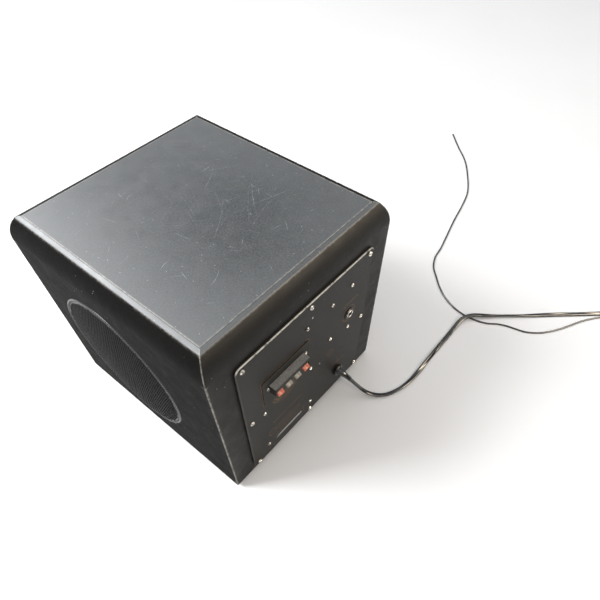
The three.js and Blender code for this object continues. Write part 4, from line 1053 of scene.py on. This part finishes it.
def plating(name, dark, bright, share):
    """Black plating over steel: bright where the noise is high, and more polished there."""
    paint = new_finish(name)
    rub_noise = paint.noise(210.0, 4.0, 0.7)
    rubbed = paint.level(rub_noise, share - 0.08, share + 0.08)
    paint.set("Base Color", paint.mix(rubbed, dark, bright))
    paint.set("Roughness", paint.level(rubbed, 0.0, 1.0, 0.42, 0.2))
    paint.set("Metallic", 0.95)
    paint.bump(paint.noise(1500.0, 2.0), 0.00004)
    return paint.owner


screw_plating = plating("screw_plating", (0.12, 0.115, 0.105), (0.80, 0.78, 0.73), 0.49)
for group, radius, tall in (("plate", 3.0, 1.7), ("module", 2.5, 1.4), ("terminal", 2.3, 1.4)):
    names = sorted(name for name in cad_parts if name.startswith(group + "_screw_"))
    parts = []
    for k, name in enumerate(names):
        low, high = (np.array(corner) * 1000 - SHIFT - [0, 0, FOOT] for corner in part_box(name))
        x, z = (low[0] + high[0]) / 2, (low[2] + high[2]) / 2
        parts.append(screw_head(x, z, radius, tall + 0.15, high[1] - tall - 0.02, 0.9 * k))
    heads = piece(group + "_heads", parts, screw_plating)
    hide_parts(*names)

# %% [markdown]
# ## The spring terminal
# Four press levers stand in a black moulded body under a hood. Each lever is a short arm with a
# thumb tab that slopes down and out, rounded on every edge and scooped along its middle. Its side
# view is a closed outline, carried across its width with the ends pulled in.

# %% Levers
LEVER_TOP = np.array([0.0, 150.5])


def lever_shape(x):
    """Side outline (distance out, height) swept over the width: sections shrink towards the
    sides, and the upper face is scooped by a cosine across the width."""
    outline = LEVER_TOP + np.array([
        (-8, -4.1), (6.9, -4.1), (7.9, -4.5), (11.3, -6.7), (11.9, -6.9), (12.5, -6.6), (12.9, -5.9),
        (12.8, -5.3), (10.6, -3.3), (8.9, -1.6), (8.3, -0.9), (7.4, -0.2), (6.6, 0), (-8, 0)])
    middle = outline.mean(0)
    across = np.array([-4.2, -4.12, -3.7, -2.6, -1.3, 0.0, 1.3, 2.6, 3.7, 4.12, 4.2])
    shrink = np.array([0.9, 0.96, 1, 1, 1, 1, 1, 1, 1, 0.96, 0.9])
    grid = middle + (outline[None] - middle) * shrink[:, None, None]
    scoop = 0.5 * (1 + np.cos(np.clip(across / 2.6, -1, 1) * np.pi))
    upper = np.isin(np.arange(len(outline)), (7, 8, 9, 10))
    grid[..., 0] -= 0.55 * scoop[:, None] * upper
    grid[..., 1] -= 0.55 * scoop[:, None] * upper
    sideways = np.broadcast_to((x + across)[:, None], grid.shape[:2])
    points = np.stack([sideways, PLATE_FACE + grid[..., 0], grid[..., 1]], -1)
    start, end = (ring * 0.02 + ring.mean(1, keepdims=True) * 0.98 for ring in (points[:1], points[-1:]))
    return surface(place(np.concatenate([start, points, end])), wrap_cols=True)


def lever_plastic(name, tones):
    """Moulded plastic with grime: two tones, dark dirt in patches, soft gloss."""
    paint = new_finish(name)
    dirt = paint.level(paint.noise(330.0, 5.0, 0.7), 0.5, 0.72, 0.0, 0.55)
    colour = paint.ramp(paint.noise(120.0), [(0.3, tones[0]), (0.7, tones[1])])
    paint.set("Base Color", paint.mix(dirt, colour, (0.05, 0.035, 0.025)))
    paint.set("Roughness", paint.level(dirt, 0.0, 0.55, 0.34, 0.6))
    paint.bump(paint.noise(1400.0, 2.0), 0.00005)
    return paint.owner


lever_tones = {"lever_coral": [(0.74, 0.15, 0.075), (0.86, 0.23, 0.13)],
               "lever_grey": [(0.24, 0.22, 0.18), (0.38, 0.35, 0.29)]}
lever_plastics = {title: lever_plastic(title, tones) for title, tones in lever_tones.items()}
for k, slot_name in enumerate(("lever_coral", "lever_grey", "lever_grey", "lever_coral"), 1):
    low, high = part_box("terminal_lever_%d" % k)
    middle_x = (low.x + high.x) * 500 - SHIFT[0]
    tab = piece("press_tab_%d" % k, [lever_shape(middle_x)], lever_plastics[slot_name], body="lever_%d" % k)
    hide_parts("terminal_lever_%d" % k)

# %% [markdown]
# The terminal's body keeps the frame's shape, in black plastic with a fine spark texture. The
# hood's top is paler grey than the body, so it gets a thin cap with a finish of its own.

# %% Terminal body and the hood's cap
terminal_plastic = simple_finish("terminal_plastic", [(0.0075, 0.0068, 0.0055), (0.014, 0.0122, 0.0095)],
                                 (0.45, 0.7), 1300.0, 0.00035, shine=0.35)
dress(terminal_plastic, "terminal_body")
hood_x, hood_y = np.meshgrid(np.linspace(13.8, 70.2, 30), np.linspace(0.6, 10.4, 8), indexing="ij")
hood_z = 157.25 + 0.15 * np.cos((hood_y - 0.6) / 9.8 * np.pi)
hood_grid = np.stack([hood_x, PLATE_FACE + hood_y, hood_z], -1)
hood_plastic = simple_finish("hood_plastic", [(0.16, 0.157, 0.147), (0.27, 0.265, 0.25)], (0.4, 0.65), 1200.0,
                             0.0005, drift=700.0)
hood_cap = piece("hood_cap", [surface(place(hood_grid))], hood_plastic)

# %% [markdown]
# ## Jack and gland
# The jack is a bright nickel sleeve in a black collar, with a deep dark bore. The gland is a
# nylon collar with a rounded rim, and the flat flex comes out of its mouth.

# %% Jack
JACK = (-72.5, PLATE_FACE, 146.0)
nickel = plating("jack_nickel", (0.45, 0.43, 0.40), (0.8, 0.78, 0.74), 0.5)
black_gloss = simple_finish("black_gloss", [0.006, 0.011], (0.25, 0.4), 700.0, 0.0001)
collar_profile = [(5.2, 1.35), (7.0, 1.35), (7.7, 1.2), (8.0, 0.7), (7.9, 0.3), (6.4, 0.25)]
sleeve_profile = [(4.1, 1.6), (4.2, 2.3), (4.5, 2.6), (5.0, 2.6), (5.2, 2.3), (5.2, 1.2)]
bore_profile = [(0.02, -6.1), (0.9, -6.0), (1.0, -4.3), (3.9, -4.2), (4.1, 1.9)]
jack_collar = piece("jack_collar", [spin(collar_profile, JACK, "y", 64)], black_gloss)
jack_sleeve = piece("jack_sleeve", [spin(sleeve_profile, JACK, "y", 64)], nickel)
jack_bore = piece("jack_bore", [spin(bore_profile, JACK, "y", 48)], black_gloss)
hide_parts("input_jack")

# %% Gland
GLAND = (-58.5, PLATE_FACE, 43.0)
gland_nylon = simple_finish("gland_nylon", [0.010, (0.05, 0.048, 0.044)], (0.14, 0.34), 800.0, 0.0002,
                            drift=260.0)
gland_profile = [(0.02, 2.1), (5.0, 2.2), (5.4, 3.6), (5.7, 4.6), (6.4, 5.0), (7.1, 4.75), (7.7, 4.2),
                 (8.0, 3.3), (8.0, 0.35), (6.2, 0.3), (6.2, -7.5)]
gland = piece("gland_collar", [spin(gland_profile, GLAND, "y", 72)], gland_nylon)
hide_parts("cord_gland")

# %% [markdown]
# The flex leaves the gland through a short rubber sleeve that tapers onto it.

# %% The relief sleeve
in_sleeve = run < 25.0
sleeve_line = mains_mm[in_sleeve]
share = np.linspace(0, 1, len(sleeve_line))
ribs = 1 + 0.035 * np.sign(np.sin(share * 50))
sleeve_size = np.column_stack([4.9 - 1.0 * share, 4.6 - 2.2 * share]) * ribs[:, None]
circle = np.column_stack([np.cos(around), np.sin(around)])
sleeve_grid = along_line(sleeve_line, circle, lean[in_sleeve], sleeve_size)
sleeve_grid[:, :, 1] = np.maximum(sleeve_grid[:, :, 1], PLATE_FACE + 2.4)
sleeve = piece("relief_sleeve", [surface(place(sleeve_grid, FLOOR_LEVEL), wrap_cols=True, flip=True)],
               cord_vinyl)

# %% [markdown]
# ## Port and feet
# The bass port is a moulded tube with a flared lip, and the feet are rubber pucks.

# %% Port
port_plastic = simple_finish("port_plastic", [(0.010, 0.010, 0.0105), (0.018, 0.018, 0.019)], (0.4, 0.6),
                             1300.0, 0.0002)
curve = np.linspace(0, np.pi / 2, 10)
port_profile = [(35.0, 109.9), (35.0, -0.3), (38.8, -0.3), (39.0, -0.7), (38.8, -1.3), (38.3, -1.5)]
port_profile += [(34.6 - 4.6 * math.sin(t), -1.5 + 15.5 * (1 - math.cos(t))) for t in curve]
port_profile += [(30.0, 60.0), (30.0, 109.6), (30.6, 110.0), (34.6, 110.0), (35.0, 109.9)]
port = piece("port_tube", [spin(port_profile, (PORT_X, -DEPTH / 2, PORT_Z), "y", 96)], port_plastic)
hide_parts("bass_port")

# %% Feet
foot_rubber = simple_finish("foot_rubber", [0.012, 0.022], (0.65, 0.85), 1100.0, 0.0002)
foot_profile = [(0.02, 0.05), (8.6, 0.05), (9.6, 0.3), (10.6, 1.2), (11.0, 2.2), (11.0, 5.2), (10.6, 5.65),
                (0.02, 5.65)]
foot_spots = ((110, 120), (-110, 120), (-110, -120), (110, -120))
feet = piece("rubber_feet", [spin(foot_profile, (x, y, -FOOT), "z", 56) for x, y in foot_spots], foot_rubber)
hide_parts("foot_1", "foot_2", "foot_3", "foot_4")

# %% [markdown]
# ## Inside the cabinet
# The rest is seen only when the part is opened up or looked at through the grille: fibreboard
# panels, the driver, and the electronics on the back of the plate. The frame has their shapes.

# %% Fibreboard, foam and driver
panels = [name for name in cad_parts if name.endswith("_panel")]
INNER = [
    ("fibreboard", [(0.028, 0.022, 0.016), (0.045, 0.036, 0.026)], (0.8, 0.95), 700.0, 0.0004, 0.0, panels),
    ("gasket_foam", [0.004, 0.010], (0.8, 0.95), 1500.0, 0.0005, 0.0, ["plate_gasket"]),
    ("basket_paint", [(0.02, 0.02, 0.021), (0.035, 0.035, 0.036)], (0.35, 0.5), 800.0, 0.0002, 0.2,
     ["driver_basket"]),
    ("ferrite", [(0.03, 0.03, 0.031), (0.055, 0.055, 0.056)], (0.6, 0.8), 500.0, 0.0004, 0.0,
     ["driver_magnet"]),
    ("zinc_steel", [(0.45, 0.44, 0.40), (0.58, 0.56, 0.5)], (0.25, 0.45), 400.0, 0.0001, 1.0,
     ["magnet_yoke", "transformer_bracket"]),
    ("cone_pulp", [0.012, (0.022, 0.021, 0.020)], (0.75, 0.9), 600.0, 0.0005, 0.0,
     ["driver_cone", "dust_cap"]),
    ("surround_foam", [0.008, 0.014], (0.6, 0.8), 1200.0, 0.0002, 0.0, ["driver_surround"]),
    ("lead_red", [(0.32, 0.02, 0.02), (0.45, 0.035, 0.03)], (0.3, 0.45), 600.0, 0.0001, 0.0, ["driver_lead"]),
]
for title, tones, rough, grain, height, metal, names in INNER:
    dress(simple_finish(title, tones, rough, grain, height, metal), *names)


def woven(name, warp, weft, threads):
    """Crossed sine waves: one thread direction shows where its wave is higher."""
    paint = new_finish(name)
    position = paint.parts(paint.where)
    waves = [paint.wave(position[axis], threads) for axis in ("Y", "Z")]
    over = paint.level(paint.calculate("SUBTRACT", waves[0], waves[1]), -0.4, 0.4)
    paint.set("Base Color", paint.mix(over, warp, weft))
    paint.set("Roughness", 0.75)
    paint.bump(paint.calculate("ADD", waves[0], waves[1]), 0.0001)
    return paint.owner


dress(woven("spider_cloth", (0.34, 0.2, 0.06), (0.22, 0.12, 0.035), 5200.0), "driver_spider")

# %% Coils, core, boards, sink and lead
def wound(name, tones, turns, axis):
    """Fine parallel wires: a sine wave along one axis in colour and bump."""
    paint = new_finish(name)
    wave = paint.wave(paint.parts(paint.where)[axis], turns)
    paint.set("Base Color", paint.mix(paint.level(wave, -1.0, 1.0), *tones))
    paint.set("Metallic", 0.9)
    paint.set("Roughness", 0.32)
    paint.bump(wave, 0.0002)
    return paint.owner


WOUND = [
    ("copper_wire", ((0.25, 0.08, 0.03), (0.7, 0.3, 0.14)), 12000.0, "X", "voice_coil"),
    ("winding_wire", ((0.2, 0.07, 0.03), (0.6, 0.26, 0.12)), 7000.0, "Z", "transformer_winding"),
    ("laminations", ((0.12, 0.12, 0.125), (0.3, 0.3, 0.31)), 9000.0, "Y", "transformer_core"),
    ("sink_alloy", ((0.5, 0.51, 0.52), (0.62, 0.63, 0.64)), 3000.0, "Z", "heat_sink"),
]
for title, tones, turns, axis, name in WOUND:
    dress(wound(title, tones, turns, axis), name)


def circuit_board(name):
    """Green lacquer over copper tracks: a square-celled pattern lifts the tracks a little."""
    paint = new_finish(name)
    track = paint.level(paint.cells(190.0, distance="CHEBYCHEV", feature="F1"), 0.30, 0.34)
    paint.set("Base Color", paint.mix(track, (0.010, 0.075, 0.022), (0.03, 0.15, 0.05)))
    paint.set("Roughness", 0.3)
    paint.bump(track, 0.00008)
    return paint.owner


dress(circuit_board("circuit_board"), "amplifier_board", "jack_board")
spare = simple_finish("spare_black", [0.010, 0.016], (0.4, 0.6), 800.0, 0.0001)
covered = [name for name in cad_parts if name.startswith(("foot_", "terminal_lever_", "cord_"))]
dress(spare, *covered, "grille", "bass_port", "input_jack", "mains_cord", "thin_lead", "mains_plug")
dress(screw_plating, *[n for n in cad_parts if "_screw_" in n])
